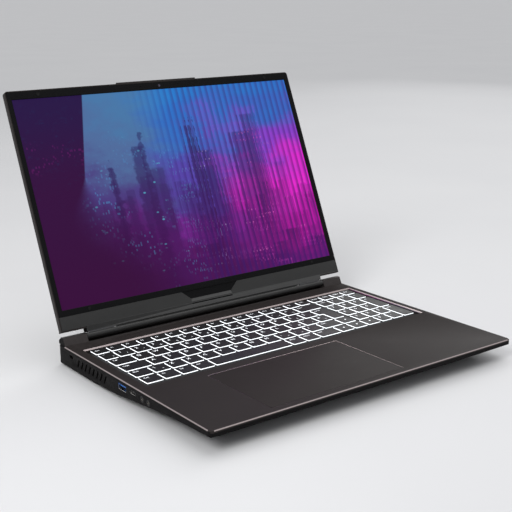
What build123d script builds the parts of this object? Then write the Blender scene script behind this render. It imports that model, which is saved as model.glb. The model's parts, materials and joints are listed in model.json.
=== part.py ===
from build123d import *
import math
import os

# A 16-inch laptop computer, standing open.
# +X runs to the user's right, +Y from the user towards the screen, +Z up, in millimetres.
# While it is drawn, y is 0 at the front edge of the base and z is 0 on the table.
# The finished pieces are then moved so that the origin is the middle of the open laptop's
# underside.

# ---- Base -----------------------------------------------------------------------------
base_width = 358.3
base_depth = 262.0
base_height = 19.0  # deck surface to underside, without the feet
foot_height = 1.8
wall = 1.6
corner_radius = 4.0
deck_thickness = 2.2
edge_chamfer = 0.8
undercut_angle = 30.0  # slope of the underside's bevels, in degrees
front_edge_height = 5.0  # height of the vertical band at the front edge

# ---- Hinge ----------------------------------------------------------------------------
open_angle = 113.6  # between the deck and the screen
axis_to_rear = 7.3  # hinge axis to the rear face of the base
axis_height = 4.0  # hinge axis above the deck
shaft_radius = 1.6
shaft_clearance = 0.05
sleeve_wall = 0.85
cap_width = 26.0
arm_width = 28.0
arm_to_cap = 4.0  # hinge arm to the hinge block
trough_depth = 1.0  # drop from the deck's underside to the floor of the rear trough
trough_skin = 2.0
rear_lip = 1.8  # thickness of the deck's rear wall behind the trough

# ---- Lid ------------------------------------------------------------------------------
lid_side_inset = 0.7  # the lid is this much narrower than the base on each side
lid_front_inset = 1.3  # closed lid to the base's front edge
lid_thickness = 6.5
lid_gap = 0.8  # closed bezel to deck
lid_skin = 1.4
lid_rim = 1.2
finger_lip = 2.2  # the lip in the middle of the lid's top edge stands out this far
bezel_thickness = 1.2
screen_width = 344.7
screen_height = 215.4
screen_start = 29.0  # hinge axis to the bottom of the picture
chin_top = 22.7  # hinge axis to the line between chin and bezel
notch_start = 7.8  # hinge axis to the lid's lower side edges
camera_radius = 1.5
camera_to_top = 5.0

# ---- Keyboard -------------------------------------------------------------------------
well_front = 114.0
well_side = 4.0  # keys to the left side of the well
well_right_side = 4.8
well_bevel = 1.2
well_rear_inset = 33.0  # rear edge of the base to the rear of the keyboard well
key_pitch = 18.4
row_pitch = 18.6
key_gap = 2.2
key_height = 1.4
key_travel = 1.4
key_top_depth = 0.1  # key tops below the deck
key_taper = 18.0
key_left = -164.0
numpad_gap = 2.9  # between the main keys and the number pad, besides the key gap
numpad_pitch = 15.75
row_front = 119.6
function_row_depth = 12.8
plate_thickness = 0.8
enter_step = 15.7  # width of the lower part of Enter, with its gap
grave_step = 16.0
tab_step = 25.0
caps_step = 30.0
shift_step = 20.5
modifier_steps = [19.5, 18.5, 18.5, 18.5]
right_modifier_steps = [18.0, 18.5, 27.0]
arrow_step = 18.0
arrow_shift = 0.5  # the arrow keys stand this far left of the main keys' end
last_function_step = 14.5

# ---- Touchpad and power button --------------------------------------------------------
touchpad_width = 151.2
touchpad_depth = 92.0
touchpad_x = -36.0
touchpad_front = 9.0
touchpad_thickness = 1.3
touchpad_gap = 0.4
touchpad_sink = 0.15  # touchpad below the deck
touchpad_travel = 0.4
power_width = 23.6
power_depth = 4.8
power_x = -104.0
power_to_rear = 21.4

# ---- Insides --------------------------------------------------------------------------
board_thickness = 1.4
board_depth_below_deck = 6.8
fan_size = 76.0
fan_height = 9.5
fan_to_side = 16.15  # housing to the side face of the base
fan_to_rear = 29.0  # housing to the rear face of the base
blade_count = 19
hub_radius = 10.0
fin_pitch = 3.0
battery_width = 236.0
battery_depth = 72.0
battery_height = 7.0
fit_gap = 0.3  # between neighbouring pieces that don't touch

# ---- Worked out from the sizes above --------------------------------------------------
half_width = base_width / 2
deck_z = foot_height + base_height
floor_z = foot_height
deck_under = deck_z - deck_thickness
trough_floor = deck_under - trough_depth
touchpad_z = deck_z - touchpad_sink
hinge_y = base_depth - axis_to_rear
hinge_z = deck_z + axis_height
deck_rear = hinge_y - 5.4
cap_inner = half_width - cap_width - lid_side_inset
bezel_face = axis_height - lid_gap  # in front of the hinge axis, towards the user
back_face = bezel_face - lid_thickness
barrel_radius = bezel_face
lid_half = half_width - lid_side_inset
lid_top = hinge_y - lid_front_inset
closed_top = hinge_z - back_face
well_rear = base_depth - well_rear_inset
main_block_width = caps_step + 12 * key_pitch + enter_step
numpad_left = key_left + main_block_width + numpad_gap
well_left = key_left - well_side
well_right = numpad_left + 4 * numpad_pitch - key_gap + well_right_side
well_depth = key_top_depth + key_height + key_travel + 0.2
plate_top = deck_z - well_depth
plate_under = plate_top - plate_thickness
board_top = deck_z - board_depth_below_deck
board_under = board_top - board_thickness
socket_top = plate_under - fit_gap
inner_floor = floor_z + wall
fan_x = half_width - fan_to_side - fan_size / 2
fan_y = base_depth - fan_to_rear - fan_size / 2
fan_front = fan_y - fan_size / 2
slope = math.tan(math.radians(undercut_angle))

# Where the side band's lower edge lies: (y from the front, height of the band)
side_band = [
    (-1.0, front_edge_height),
    (0.23 * base_depth, front_edge_height + 2.5),
    (0.57 * base_depth, base_height - 2.5),
    (0.72 * base_depth, base_height - 0.5),
    (base_depth + 1.0, base_height - 0.5),
]


def block(low, high):
    """A box between two opposite corners."""
    size = [high[i] - low[i] for i in range(3)]
    middle = [(high[i] + low[i]) / 2 for i in range(3)]
    return Pos(*middle) * Box(*size)


def mirrored(part):
    """The same part on the other side of the middle plane."""
    return mirror(part, about=Plane.YZ)


def x_rod(x0, x1, y, z, radius):
    """A round bar along X."""
    return Pos((x0 + x1) / 2, y, z) * Rot(0, 90, 0) * Cylinder(radius, x1 - x0)


def y_rod(x, y0, y1, z, radius):
    """A round bar along Y."""
    return Pos(x, (y0 + y1) / 2, z) * Rot(90, 0, 0) * Cylinder(radius, y1 - y0)


def x_prism(x0, x1, outline):
    """An outline of (y, z) points, extruded along X."""
    face = make_face(Polyline(*[(x0, y, z) for y, z in outline], close=True))
    return extrude(face, amount=x1 - x0, dir=(1, 0, 0))


# ---- Casing of the base ---------------------------------------------------------------


def side_bevel(side, shift):
    """The wedge of space under one side of the base, moved inwards by shift."""
    sections = []
    for y, band in side_band:
        edge = half_width - shift
        line_z = deck_z - band
        points = [
            (side * (edge + 10), y, line_z + 10 * slope),
            (side * (edge + 10), y, line_z - 60 * slope),
            (side * (edge - 60), y, line_z - 60 * slope),
        ]
        sections.append(make_face(Polyline(*points, close=True)))
    return loft(sections, ruled=True)


def front_bevel(shift):
    """The wedge of space under the front edge, moved inwards by shift."""
    line_z = deck_z - front_edge_height
    outline = [
        (shift - 10, line_z + 10 * slope),
        (shift + 60, line_z - 60 * slope),
        (shift - 10, line_z - 60 * slope),
    ]
    return x_prism(-base_width, base_width, outline)


def base_form(inset, top_z):
    """The closed form of the base up to top_z, with every wall moved inwards by inset."""
    half = half_width - inset
    low = (-half, inset, floor_z + inset)
    form = block(low, (half, base_depth - inset, top_z))
    corners = form.edges().filter_by(Axis.Z)
    form = fillet(corners, max(corner_radius - inset, 0.5))
    shift = inset / math.sin(math.radians(undercut_angle))
    form -= side_bevel(-1, shift)
    form -= side_bevel(1, shift)
    form -= front_bevel(shift)
    return form


def trough_block():
    """The box that holds the trough behind the deck, under the lid's barrel."""
    low = (-cap_inner - 2, deck_rear - 2, trough_floor - trough_skin)
    return block(low, (cap_inner + 2, base_depth, deck_under))


def web_hole(clearance):
    """The space that the hinge mount's web takes through the deck, on the right side."""
    half = 2.2 + clearance
    low = (cap_inner + 2.7 - clearance, hinge_y - half, deck_under - 1)
    return block(low, (half_width - 7 + clearance, hinge_y + half, hinge_z))


def make_deck_cover():
    plate = block((-half_width, 0, deck_under), (half_width, base_depth, deck_z))
    plate = fillet(plate.edges().filter_by(Axis.Z), corner_radius)
    rim = plate.faces().sort_by(Axis.Z)[-1].edges()
    plate = chamfer(rim, edge_chamfer)
    plate += trough_block()
    low = (-cap_inner, deck_rear, trough_floor)
    plate -= block(low, (cap_inner, base_depth - rear_lip, deck_z + 5))

    ring = 2.5
    low = (well_left - ring, well_front - ring, plate_top)
    plate += block(low, (well_right + ring, well_rear + ring, deck_under))
    well = block((well_left, well_front, plate_top), (well_right, well_rear, deck_z))
    plate -= well
    opening = Rectangle(well_right - well_left, well_rear - well_front)
    chamfer_cut = extrude(opening, amount=well_bevel, taper=-45)
    middle = ((well_left + well_right) / 2, (well_front + well_rear) / 2)
    place = Pos(*middle, deck_z - well_bevel)
    plate -= place * chamfer_cut

    half = touchpad_width / 2 + touchpad_gap
    y0 = touchpad_front - touchpad_gap
    y1 = touchpad_front + touchpad_depth + touchpad_gap
    shelf = touchpad_z - touchpad_thickness - touchpad_travel - 0.05
    plate -= block((touchpad_x - half, y0, deck_under - 1), (touchpad_x + half, y1, deck_z + 1))
    ledge = block(
        (touchpad_x - half - 2, y0 - 2, deck_under - 0.6),
        (touchpad_x + half + 2, y1 + 2, shelf),
    )
    ledge -= block(
        (touchpad_x - half + 4, y0 + 4, deck_under - 1),
        (touchpad_x + half - 4, y1 - 4, deck_z),
    )
    plate += ledge

    plate -= power_space(0.3, deck_under - 1, deck_z + 1)
    plate -= web_hole(fit_gap)
    plate -= mirrored(web_hole(fit_gap))
    return plate


def power_space(clearance, low_z, high_z):
    """The box of the power button's cap."""
    half_x = power_width / 2 + clearance
    half_y = power_depth / 2 + clearance
    y = base_depth - power_to_rear
    low = (power_x - half_x, y - half_y, low_z)
    return block(low, (power_x + half_x, y + half_y, high_z))


def make_power_button():
    button = power_space(0, deck_under - 0.9, deck_z + 0.1)
    top = button.faces().sort_by(Axis.Z)[-1].edges()
    button = chamfer(top, 0.2)
    return button + power_space(1.4, deck_under - 0.9, deck_under - 0.2)


def make_touchpad():
    low = (touchpad_x - touchpad_width / 2, touchpad_front, touchpad_z - touchpad_thickness)
    high = (low[0] + touchpad_width, touchpad_front + touchpad_depth, touchpad_z)
    pad = block(low, high)
    return fillet(pad.edges().filter_by(Axis.Z), 1.5)


# ---- Sockets along the sides and the rear ----------------------------------------------

usb_size = (13.2, 5.6)
usb_c_size = (9.2, 3.4)
hdmi_size = (15.2, 5.6)
jack_radius = 3.0
jack_bore = 1.78
inlet_radius = 3.9
socket_length = 15.0
socket_recess = 0.25  # socket faces behind the outer wall

usb_y = base_depth - 123.8
usb_c_y = usb_y - 19.1
jack_ys = [usb_y - 33.6, usb_y - 44.0]
jack_z = socket_top - jack_radius
right_usb_ys = [usb_y + 11.8, usb_y - 10.2]
rear_hdmi_x = -40.0
rear_usb_c_x = -10.0
inlet_x = 42.0
rear_socket_top = trough_floor - trough_skin - fit_gap


def side_socket(side, y, size, grow, depth):
    """A box for a socket in a side wall: its opening's size, grown all round by grow."""
    half_y = size[0] / 2 + grow
    x_out = half_width + 1 if grow else half_width - socket_recess
    x_in = half_width - depth
    low = (min(side * x_in, side * x_out), y - half_y, socket_top - size[1] - grow)
    return block(low, (max(side * x_in, side * x_out), y + half_y, socket_top + grow))


def rear_socket(x, size, grow, depth):
    """A box for a socket in the rear wall."""
    half_x = size[0] / 2 + grow
    y_out = base_depth + 1 if grow else base_depth - socket_recess
    low = (x - half_x, base_depth - depth, rear_socket_top - size[1] - grow)
    return block(low, (x + half_x, y_out, rear_socket_top + grow))


def usb_socket(side, y):
    """A metal socket with a tongue, open at the wall."""
    shell = side_socket(side, y, usb_size, 0, socket_length)
    mouth_x = side * half_width
    back_x = side * (half_width - socket_length + 1.5)
    low = (min(mouth_x, back_x), y - usb_size[0] / 2 + 0.5, socket_top - usb_size[1] + 0.5)
    high = (max(mouth_x, back_x), y + usb_size[0] / 2 - 0.5, socket_top - 0.5)
    shell -= block(low, high)
    tongue_x = side * (half_width - 1.6)
    low = (min(tongue_x, back_x), low[1] + 0.7, socket_top - 2.6)
    high = (max(tongue_x, back_x), high[1] - 0.7, socket_top - 0.9)
    return shell + block(low, high)


def make_usb_a_sockets():
    sockets = [usb_socket(-1, usb_y)]
    sockets += [usb_socket(1, y) for y in right_usb_ys]
    return Compound(children=sockets)


def usb_c_form(size_x, size_y, length):
    """A flat oval bar along Z."""
    return extrude(RectangleRounded(size_x, size_y, size_y / 2 - 0.02), amount=length)


def usb_c_body(length):
    """A type-C socket: an oval tube with a tongue, its mouth at the top of the Z axis."""
    tube = usb_c_form(usb_c_size[0], usb_c_size[1], length)
    tube -= Pos(0, 0, 1.2) * usb_c_form(usb_c_size[0] - 0.8, usb_c_size[1] - 0.8, length)
    return tube + Pos(0, 0, length / 2) * Box(6.6, 0.7, length - 1.6)


def make_usb_c_sockets():
    length = socket_length - 5
    z = socket_top - usb_c_size[1] / 2
    start = (-half_width + socket_recess + length, usb_c_y, z)
    place = Plane(origin=start, x_dir=(0, 1, 0), z_dir=(-1, 0, 0))
    left = Location(place) * usb_c_body(length)
    z = rear_socket_top - usb_c_size[1] / 2
    start = (rear_usb_c_x, base_depth - socket_recess - length, z)
    place = Plane(origin=start, x_dir=(-1, 0, 0), z_dir=(0, 1, 0))
    rear = Location(place) * usb_c_body(length)
    return Compound(children=[left, rear])


def make_audio_jacks():
    jacks = []
    for y in jack_ys:
        x_out = -half_width + socket_recess
        body = x_rod(x_out, x_out + socket_length, y, jack_z, jack_radius)
        body -= x_rod(x_out - 1, x_out + socket_length - 1, y, jack_z, jack_bore)
        jacks.append(body)
    return Compound(children=jacks)


def make_hdmi_socket():
    shell = rear_socket(rear_hdmi_x, hdmi_size, 0, socket_length)
    low = (rear_hdmi_x - hdmi_size[0] / 2 + 0.6, base_depth - socket_length + 1.5)
    high = (rear_hdmi_x + hdmi_size[0] / 2 - 0.6, base_depth)
    low_z = rear_socket_top - hdmi_size[1] + 0.6
    shell -= block((*low, low_z), (*high, rear_socket_top - 0.6))
    low = (low[0] + 1, low[1])
    tongue = block((*low, low_z + 2.0), (high[0] - 1, base_depth - 1.6, low_z + 3.0))
    return shell + tongue


def make_dc_inlet():
    z = rear_socket_top - inlet_radius
    y_out = base_depth - socket_recess
    y_in = base_depth - socket_length
    body = y_rod(inlet_x, y_in, y_out, z, inlet_radius)
    body -= y_rod(inlet_x, y_in + 2, y_out + 1, z, 2.8)
    return body + y_rod(inlet_x, y_in + 1, y_out - 1.5, z, 0.6)


def socket_holes():
    """The holes in the casing for every socket, with a small gap round each."""
    gap = 0.15
    deep = socket_length + 5
    holes = side_socket(-1, usb_y, usb_size, gap, deep)
    for y in right_usb_ys:
        holes += side_socket(1, y, usb_size, gap, deep)
    holes += side_socket(-1, usb_c_y, usb_c_size, gap, deep)
    for y in jack_ys:
        holes += x_rod(-half_width - 1, -half_width + deep, y, jack_z, jack_radius + gap)
    holes += rear_socket(rear_hdmi_x, hdmi_size, gap, deep)
    holes += rear_socket(rear_usb_c_x, usb_c_size, gap, deep)
    z = rear_socket_top - inlet_radius
    holes += y_rod(inlet_x, base_depth - deep, base_depth + 1, z, inlet_radius + gap)
    return holes


# ---- Bottom cover, grilles, feet and screws ---------------------------------------------

vent_count = 8
vent_pitch = 7.4
vent_height = 9.0
vent_width = 2.2
vent_first = 0.645 * base_depth
lock_y = base_depth - 27.0
lock_size = (7.0, 3.0)
grille_low = fan_x - 41.0
grille_high = fan_x + 35.0
grille_z = (floor_z + 3.2, trough_floor - 3.4)
foot_rows = [(33.0, 9.0), (base_depth - 20.0, 9.0)]
foot_ends = [(-150.0, -40.0), (40.0, 150.0)]
screw_x = fan_x - fan_size / 2 - 13.0  # between the fans' fin stacks
screw_points = [
    (x, y) for x in (-screw_x, 0.0, screw_x) for y in (104.0, base_depth - 22.0)
] + [(x, y) for x in (-152.0, 152.0) for y in (104.0, fan_front - 5)]
screw_radius = 1.25
head_radius = 2.6


def side_vents(side):
    """The slanted vent slots of one side wall."""
    slots = []
    for i in range(vent_count):
        y = vent_first + i * vent_pitch
        slot = Box(3 * wall, vent_width, vent_height)
        place = Pos(side * half_width, y, deck_z - 9.0) * Rot(25, 0, 0)
        slots.append(place * slot)
    return slots


def bottom_vents():
    """The slots under both fans."""
    slots = []
    for side in (-1, 1):
        for i in range(9):
            y = fan_y - 24 + 6 * i
            half = math.sqrt(28.0**2 - (y - fan_y) ** 2)
            low = (side * fan_x - half, y - 1.1, floor_z - 1)
            slots.append(block(low, (side * fan_x + half, y + 1.1, inner_floor + 0.5)))
    return slots


def make_bottom_cover():
    shell = base_form(0, deck_under) - base_form(wall, deck_under + 1)
    shell -= trough_block()
    for x, y in screw_points:
        shell += Pos(x, y, inner_floor + 1.4) * Cylinder(3.2, 3.0)
    for x, y in screw_points:
        shell -= Pos(x, y, floor_z + 3) * Cylinder(screw_radius + 0.1, 10)
        shell -= Pos(x, y, floor_z) * Cylinder(head_radius + 0.2, 2.4)
    for side in (-1, 1):
        low = (min(side * grille_low, side * grille_high), base_depth - 3 * wall, grille_z[0])
        high = (max(side * grille_low, side * grille_high), base_depth + 1, grille_z[1])
        shell -= block(low, high)
        for slot in side_vents(side):
            shell -= slot
    for slot in bottom_vents():
        shell -= slot
    z = deck_z - 6.4
    low = (-half_width - 1, lock_y - lock_size[0] / 2, z - lock_size[1] / 2)
    shell -= block(low, (-half_width + 3 * wall, lock_y + lock_size[0] / 2, z + lock_size[1] / 2))
    shell -= socket_holes()
    return shell


def make_rear_grilles():
    """Two framed grilles of upright bars, one behind each fan."""
    grilles = []
    height = grille_z[1] - grille_z[0]
    width = grille_high - grille_low
    for side in (-1, 1):
        low = (min(side * grille_low, side * grille_high), base_depth - wall, grille_z[0])
        grille = block(low, (low[0] + width, base_depth - 0.3, grille_z[1]))
        count = 15
        pitch = (width - 2) / count
        for i in range(count):
            x = low[0] + 1 + pitch * (i + 0.5)
            slot = Box(pitch - 1.4, 3 * wall, height - 2.4)
            grille -= Pos(x, base_depth - wall, (grille_z[0] + grille_z[1]) / 2) * slot
        grilles.append(grille)
    return Compound(children=grilles)


def make_rubber_feet():
    feet = []
    for y, depth in foot_rows:
        for x0, x1 in foot_ends:
            low = (x0, y - depth / 2, 0)
            foot = block(low, (x1, y + depth / 2, floor_z))
            foot = fillet(foot.edges().filter_by(Axis.Z), 4.0)
            foot = chamfer(foot.faces().sort_by(Axis.Z)[0].edges(), 0.5)
            feet.append(foot)
    return Compound(children=feet)


def make_bottom_screws():
    screws = []
    for x, y in screw_points:
        screw = Pos(x, y, floor_z + 0.7) * Cylinder(head_radius, 1.0)
        screw += Pos(x, y, floor_z + 2.7) * Cylinder(screw_radius, 4.0)
        screw -= Pos(x, y, floor_z + 0.3) * Box(2.6, 0.6, 1.0)
        screw -= Pos(x, y, floor_z + 0.3) * Box(0.6, 2.6, 1.0)
        screws.append(screw)
    return Compound(children=screws)


# ---- Hinges ---------------------------------------------------------------------------


def make_hinge_cap():
    """The block over the right hinge, with a pocket for the hinge mount."""
    outline = [
        (deck_rear, deck_z),
        (hinge_y - 1.7, closed_top),
        (hinge_y + 2.6, closed_top),
        (base_depth, closed_top - 3.7),
        (base_depth, deck_z),
    ]
    cap = x_prism(cap_inner, half_width - 0.9, outline)
    pocket_radius = shaft_radius + shaft_clearance + sleeve_wall + 0.2
    cap -= x_rod(cap_inner - 1, half_width - 3, hinge_y, hinge_z, pocket_radius)
    low = (cap_inner + 2, hinge_y - pocket_radius, deck_z)
    cap -= block(low, (half_width - 3, hinge_y + pocket_radius, hinge_z))
    return cap


def make_hinge_mount():
    """The steel bracket that holds the right shaft: a sleeve, a web and a foot."""
    x0 = cap_inner + 2.7
    x1 = half_width - 7
    outer = shaft_radius + shaft_clearance + sleeve_wall
    bracket = x_rod(x0, x1, hinge_y, hinge_z, outer)
    bracket += block((x0, hinge_y - 2.2, deck_under - 1), (x1, hinge_y + 2.2, hinge_z))
    bracket += block((x0, hinge_y - 16, deck_under - 2), (x1, hinge_y + 3, deck_under))
    bracket -= x_rod(x0 - 1, x1 + 1, hinge_y, hinge_z, shaft_radius + shaft_clearance)
    return bracket


# ---- Lid, drawn in its own frame: x across, v from the hinge axis up the lid, w towards
# ---- the user. The lid's frame is placed at the open angle afterwards.

lean = math.radians(open_angle)
lid_plane = Plane(
    origin=(0, hinge_y, hinge_z), x_dir=(1, 0, 0), z_dir=(0, -math.sin(lean), -math.cos(lean))
)
barrel_half = cap_inner - 0.4
panel_half = screen_width / 2 + 2.2
glass_front = bezel_face - bezel_thickness - 0.05
back_inner = back_face + lid_skin
camera_v = lid_top - camera_to_top
arm_outer = cap_inner - arm_to_cap
arm_inner = arm_outer - arm_width


def opened(part):
    """Turns a lid piece from the lid's own frame to the open lid."""
    return Location(lid_plane) * part


def hinge_notches(margin):
    """The space round the two hinge caps, in the lid's frame."""
    x0 = cap_inner - 0.4 - margin
    right = block((x0, -10, -20), (half_width + 5, notch_start + margin, 20))
    return [right, mirrored(right)]


def make_lid_back_cover():
    form = block((-lid_half, barrel_radius + 0.4, back_face), (lid_half, lid_top, bezel_face - 0.2))
    form = fillet(form.edges().filter_by(Axis.Z).group_by(Axis.Y)[-1], 3.0)
    form = chamfer(form.faces().sort_by(Axis.Z)[0].edges().group_by(Axis.Y)[-1], 0.8)
    inner = block(
        (-lid_half + lid_rim, -20, back_inner), (lid_half - lid_rim, lid_top - lid_rim, 20)
    )
    cover = form - inner
    for notch in hinge_notches(0):
        cover -= notch
    low = (cap_inner - 0.4 - lid_rim, notch_start, back_face)
    sill = block(low, (lid_half, notch_start + lid_rim, bezel_face - 0.2))
    cover += sill + mirrored(sill)
    tip = lid_top + finger_lip
    outline = [(lid_top - 1, 0.8), (tip, 0.4), (tip, -0.8), (lid_top - 1, -1.6)]
    return cover + x_prism(-50, 50, outline)


def make_lid_bezel():
    margin = lid_rim + 0.15
    w0 = bezel_face - bezel_thickness
    low = (-lid_half + margin, chin_top, w0)
    bezel = block(low, (lid_half - margin, lid_top - margin, bezel_face))
    bezel = fillet(bezel.edges().filter_by(Axis.Z).group_by(Axis.Y)[-1], 2.0)
    low = (-screen_width / 2, screen_start, w0 - 1)
    bezel -= block(low, (screen_width / 2, screen_start + screen_height, bezel_face + 1))
    inner = bezel.faces().sort_by(Axis.Z)[-1].inner_wires()[0].edges()
    bezel = chamfer(inner, 0.4)
    bezel -= Pos(0, camera_v, 0) * Cylinder(camera_radius + 0.1, 20)
    for x in (-24.0, 24.0):
        bezel -= Pos(x, camera_v, 0) * Cylinder(0.5, 20)
    return bezel


def make_lid_chin():
    """The strip between the picture and the hinge, with its recess in the middle."""
    margin = lid_rim + 0.15
    outline = [
        (chin_top - 0.15, bezel_face),
        (9.7, bezel_face),
        (barrel_radius + 0.9, bezel_face - 1.0),
        (barrel_radius + 0.9, bezel_face - 2.0),
        (9.7, bezel_face - bezel_thickness),
        (chin_top - 0.15, bezel_face - bezel_thickness),
    ]
    chin = x_prism(-lid_half + margin, lid_half - margin, outline)
    for notch in hinge_notches(margin):
        chin -= notch
    top, middle, low = chin_top, 13.9, 10.7
    trapezoid = make_face(Polyline((-36, top), (36, top), (26, middle), (-26, middle), close=True))
    floor = bezel_face - 0.6
    chin -= Pos(0, 0, floor) * extrude(trapezoid, amount=5)
    ramp = [(middle, floor), (middle, bezel_face + 1), (low, bezel_face + 1), (low, bezel_face)]
    chin -= x_prism(-26, 26, ramp)
    chin -= block((-26, 8.0, bezel_face - 0.8), (26, 9.2, bezel_face + 1))
    return chin


def make_hinge_barrel():
    """The round lower edge of the lid, bored for the hinge shafts and slotted for their arms."""
    barrel = x_rod(-barrel_half, barrel_half, 0, 0, barrel_radius)
    barrel += block((-arm_inner + 4, 0, back_inner + 0.5), (arm_inner - 4, notch_start + 2, 0.8))
    for side in (-1, 1):
        x0, x1 = sorted((side * (arm_inner - 1.2), side * (barrel_half + 1)))
        barrel -= x_rod(x0, x1, 0, 0, shaft_radius + 0.25)
        x0, x1 = sorted((side * (arm_inner - 0.3), side * (arm_outer + 0.3)))
        barrel -= block((x0, 0, -0.9), (x1, barrel_radius + 2, 0.9))
    return barrel


def make_hinge_arm():
    """The right shaft and the flat arm that carries the lid."""
    arm = x_rod(arm_inner, half_width - 7.5, 0, 0, shaft_radius)
    arm += block((arm_inner, 0, -0.7), (arm_outer, chin_top - 1.5, 0.7))
    for x in (arm_inner + 7, arm_outer - 7):
        arm -= Pos(x, chin_top - 6, 0) * Cylinder(1.3, 10)
    return arm


def make_lcd_panel():
    low = (-panel_half, screen_start - 3.6, back_inner + 0.7)
    return block(low, (panel_half, screen_start + screen_height + 1.8, glass_front - 0.7))


def make_screen_glass():
    low = (-panel_half + 0.6, screen_start - 3.0, glass_front - 0.65)
    return block(low, (panel_half - 0.6, screen_start + screen_height + 1.4, glass_front))


def make_webcam_board():
    low = (-26, screen_start + screen_height + 2.1, glass_front - 2.6)
    return block(low, (26, lid_top - lid_rim - 0.5, glass_front - 1.4))


def make_webcam_lens():
    base_w = glass_front - 1.4
    lens = Pos(0, camera_v, (base_w + bezel_face - 0.15) / 2) * Cylinder(
        camera_radius, bezel_face - 0.15 - base_w
    )
    return lens - Pos(0, camera_v, bezel_face + 0.15) * Sphere(0.7)


def make_lid_bumpers():
    low_v = (chin_top + screen_start) / 2
    high_v = (screen_start + screen_height + lid_top - lid_rim) / 2
    pads = []
    for x in (-0.4 * base_width, 0.4 * base_width):
        for v in (low_v, high_v):
            pads.append(Pos(x, v, bezel_face + 0.25) * Cylinder(1.8, 0.5))
    return Compound(children=pads)


def make_display_cable():
    low = (-70, notch_start + 0.5, back_inner + 0.05)
    return block(low, (-48, screen_start + 45, back_inner + 0.4))


def make_wifi_antennas():
    low = (62, screen_start + screen_height + 2.6, back_inner)
    strip = block(low, (112, lid_top - lid_rim - 0.8, back_inner + 0.8))
    return Compound(children=[strip, mirrored(strip)])


# ---- Keyboard -------------------------------------------------------------------------


def make_keyboard_plate():
    """The steel sheet that the keys work on, under the well."""
    low = (well_left - 2, well_front - 2, plate_under)
    plate = block(low, (well_right + 2, well_rear + 2, plate_top))
    for x in range(-160, 161, 80):
        for y in (well_front + 3, well_rear - 1):
            plate -= Pos(x, y, plate_top) * Cylinder(0.9, 4)
    return plate


def key_solid(x0, x1, y0, y1):
    """One key, wider at its foot than at its top."""
    low_z = deck_z - key_top_depth - key_height
    foot = Rectangle(x1 - x0, y1 - y0)
    place = Pos((x0 + x1) / 2, (y0 + y1) / 2, low_z)
    return place * extrude(foot, amount=key_height, taper=key_taper)


def row_y(row):
    """The front and rear of a row of keys: row 0 is nearest the user, row 5 is the top one."""
    y0 = row_front + row * row_pitch
    depth = function_row_depth if row == 5 else row_pitch - key_gap
    return y0, y0 + depth


def key_run(left, row, steps):
    """Keys side by side. Each step is a key's width with its gap."""
    y0, y1 = row_y(row)
    keys = []
    x = left
    for step in steps:
        keys.append(key_solid(x, x + step - key_gap, y0, y1))
        x += step
    return keys


def tall_key(column, row):
    """A number-pad key two rows high, with its lower end in the given row."""
    x0 = numpad_left + column * numpad_pitch
    return key_solid(x0, x0 + numpad_pitch - key_gap, row_y(row)[0], row_y(row + 1)[1])


def enter_key():
    """The L-shaped Enter: wide in the upper letter row, narrow in the home row."""
    right = key_left + main_block_width - key_gap
    upper_left = key_left + tab_step + 12 * key_pitch
    lower_left = key_left + caps_step + 12 * key_pitch
    low_z = deck_z - key_top_depth - key_height
    y0, y1 = row_y(2)[0], row_y(3)[1]
    step_y = row_y(3)[0]
    outline = [
        (lower_left, y0),
        (right, y0),
        (right, y1),
        (upper_left, y1),
        (upper_left, step_y),
        (lower_left, step_y),
    ]
    face = make_face(Polyline(*[(x, y, low_z) for x, y in outline], close=True))
    return extrude(face, amount=key_height, dir=(0, 0, 1), taper=key_taper)


def key_nodes():
    """Every node of the keyboard, as a name and its keys."""
    letters = [key_pitch] * 12
    right_end = key_left + main_block_width
    backspace_left = key_left + grave_step + 12 * key_pitch
    space_left = key_left + sum(modifier_steps)
    arrow_left = right_end - 2 * arrow_step - arrow_shift
    right_left = arrow_left - sum(right_modifier_steps)
    right_shift_step = main_block_width - shift_step - 12 * key_pitch
    function_step = (main_block_width - last_function_step) / 15
    shift_left = key_left + shift_step + 11 * key_pitch
    pads = []
    for row in (4, 3, 2, 1):
        steps = [numpad_pitch] * (4 if row == 4 else 3)
        pads += key_run(numpad_left, row, steps)
    pads += key_run(numpad_left + numpad_pitch, 0, [numpad_pitch] * 2)
    pads += [tall_key(3, 2), tall_key(3, 0)]
    return {
        "key_escape": key_run(key_left, 5, [function_step]),
        "keys_function": key_run(
            key_left + function_step, 5, [function_step] * 14 + [last_function_step]
        ),
        "keys_media": key_run(numpad_left, 5, [numpad_pitch] * 4),
        "keys_digits": key_run(key_left, 4, [grave_step] + letters),
        "key_backspace": key_run(backspace_left, 4, [right_end - backspace_left]),
        "key_tab": key_run(key_left, 3, [tab_step]),
        "keys_upper_letters": key_run(key_left + tab_step, 3, letters),
        "key_enter": [enter_key()],
        "key_caps_lock": key_run(key_left, 2, [caps_step]),
        "keys_home_letters": key_run(key_left + caps_step, 2, letters),
        "key_shift_left": key_run(key_left, 1, [shift_step]),
        "keys_lower_letters": key_run(key_left + shift_step, 1, letters[:11]),
        "key_shift_right": key_run(shift_left, 1, [right_shift_step]),
        "keys_modifier": key_run(key_left, 0, modifier_steps)
        + key_run(right_left, 0, right_modifier_steps),
        "key_space": key_run(space_left, 0, [right_left - space_left]),
        "keys_arrow": key_run(arrow_left, 0, [arrow_step] * 3)
        + key_run(right_end - key_pitch, 1, [key_pitch]),
        "keys_number_pad": pads,
    }


# ---- Insides of the base ---------------------------------------------------------------


def fan_place(side):
    """The middle of a fan's axis, at the housing's underside."""
    return side * fan_x, fan_y, inner_floor + 0.2


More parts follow.
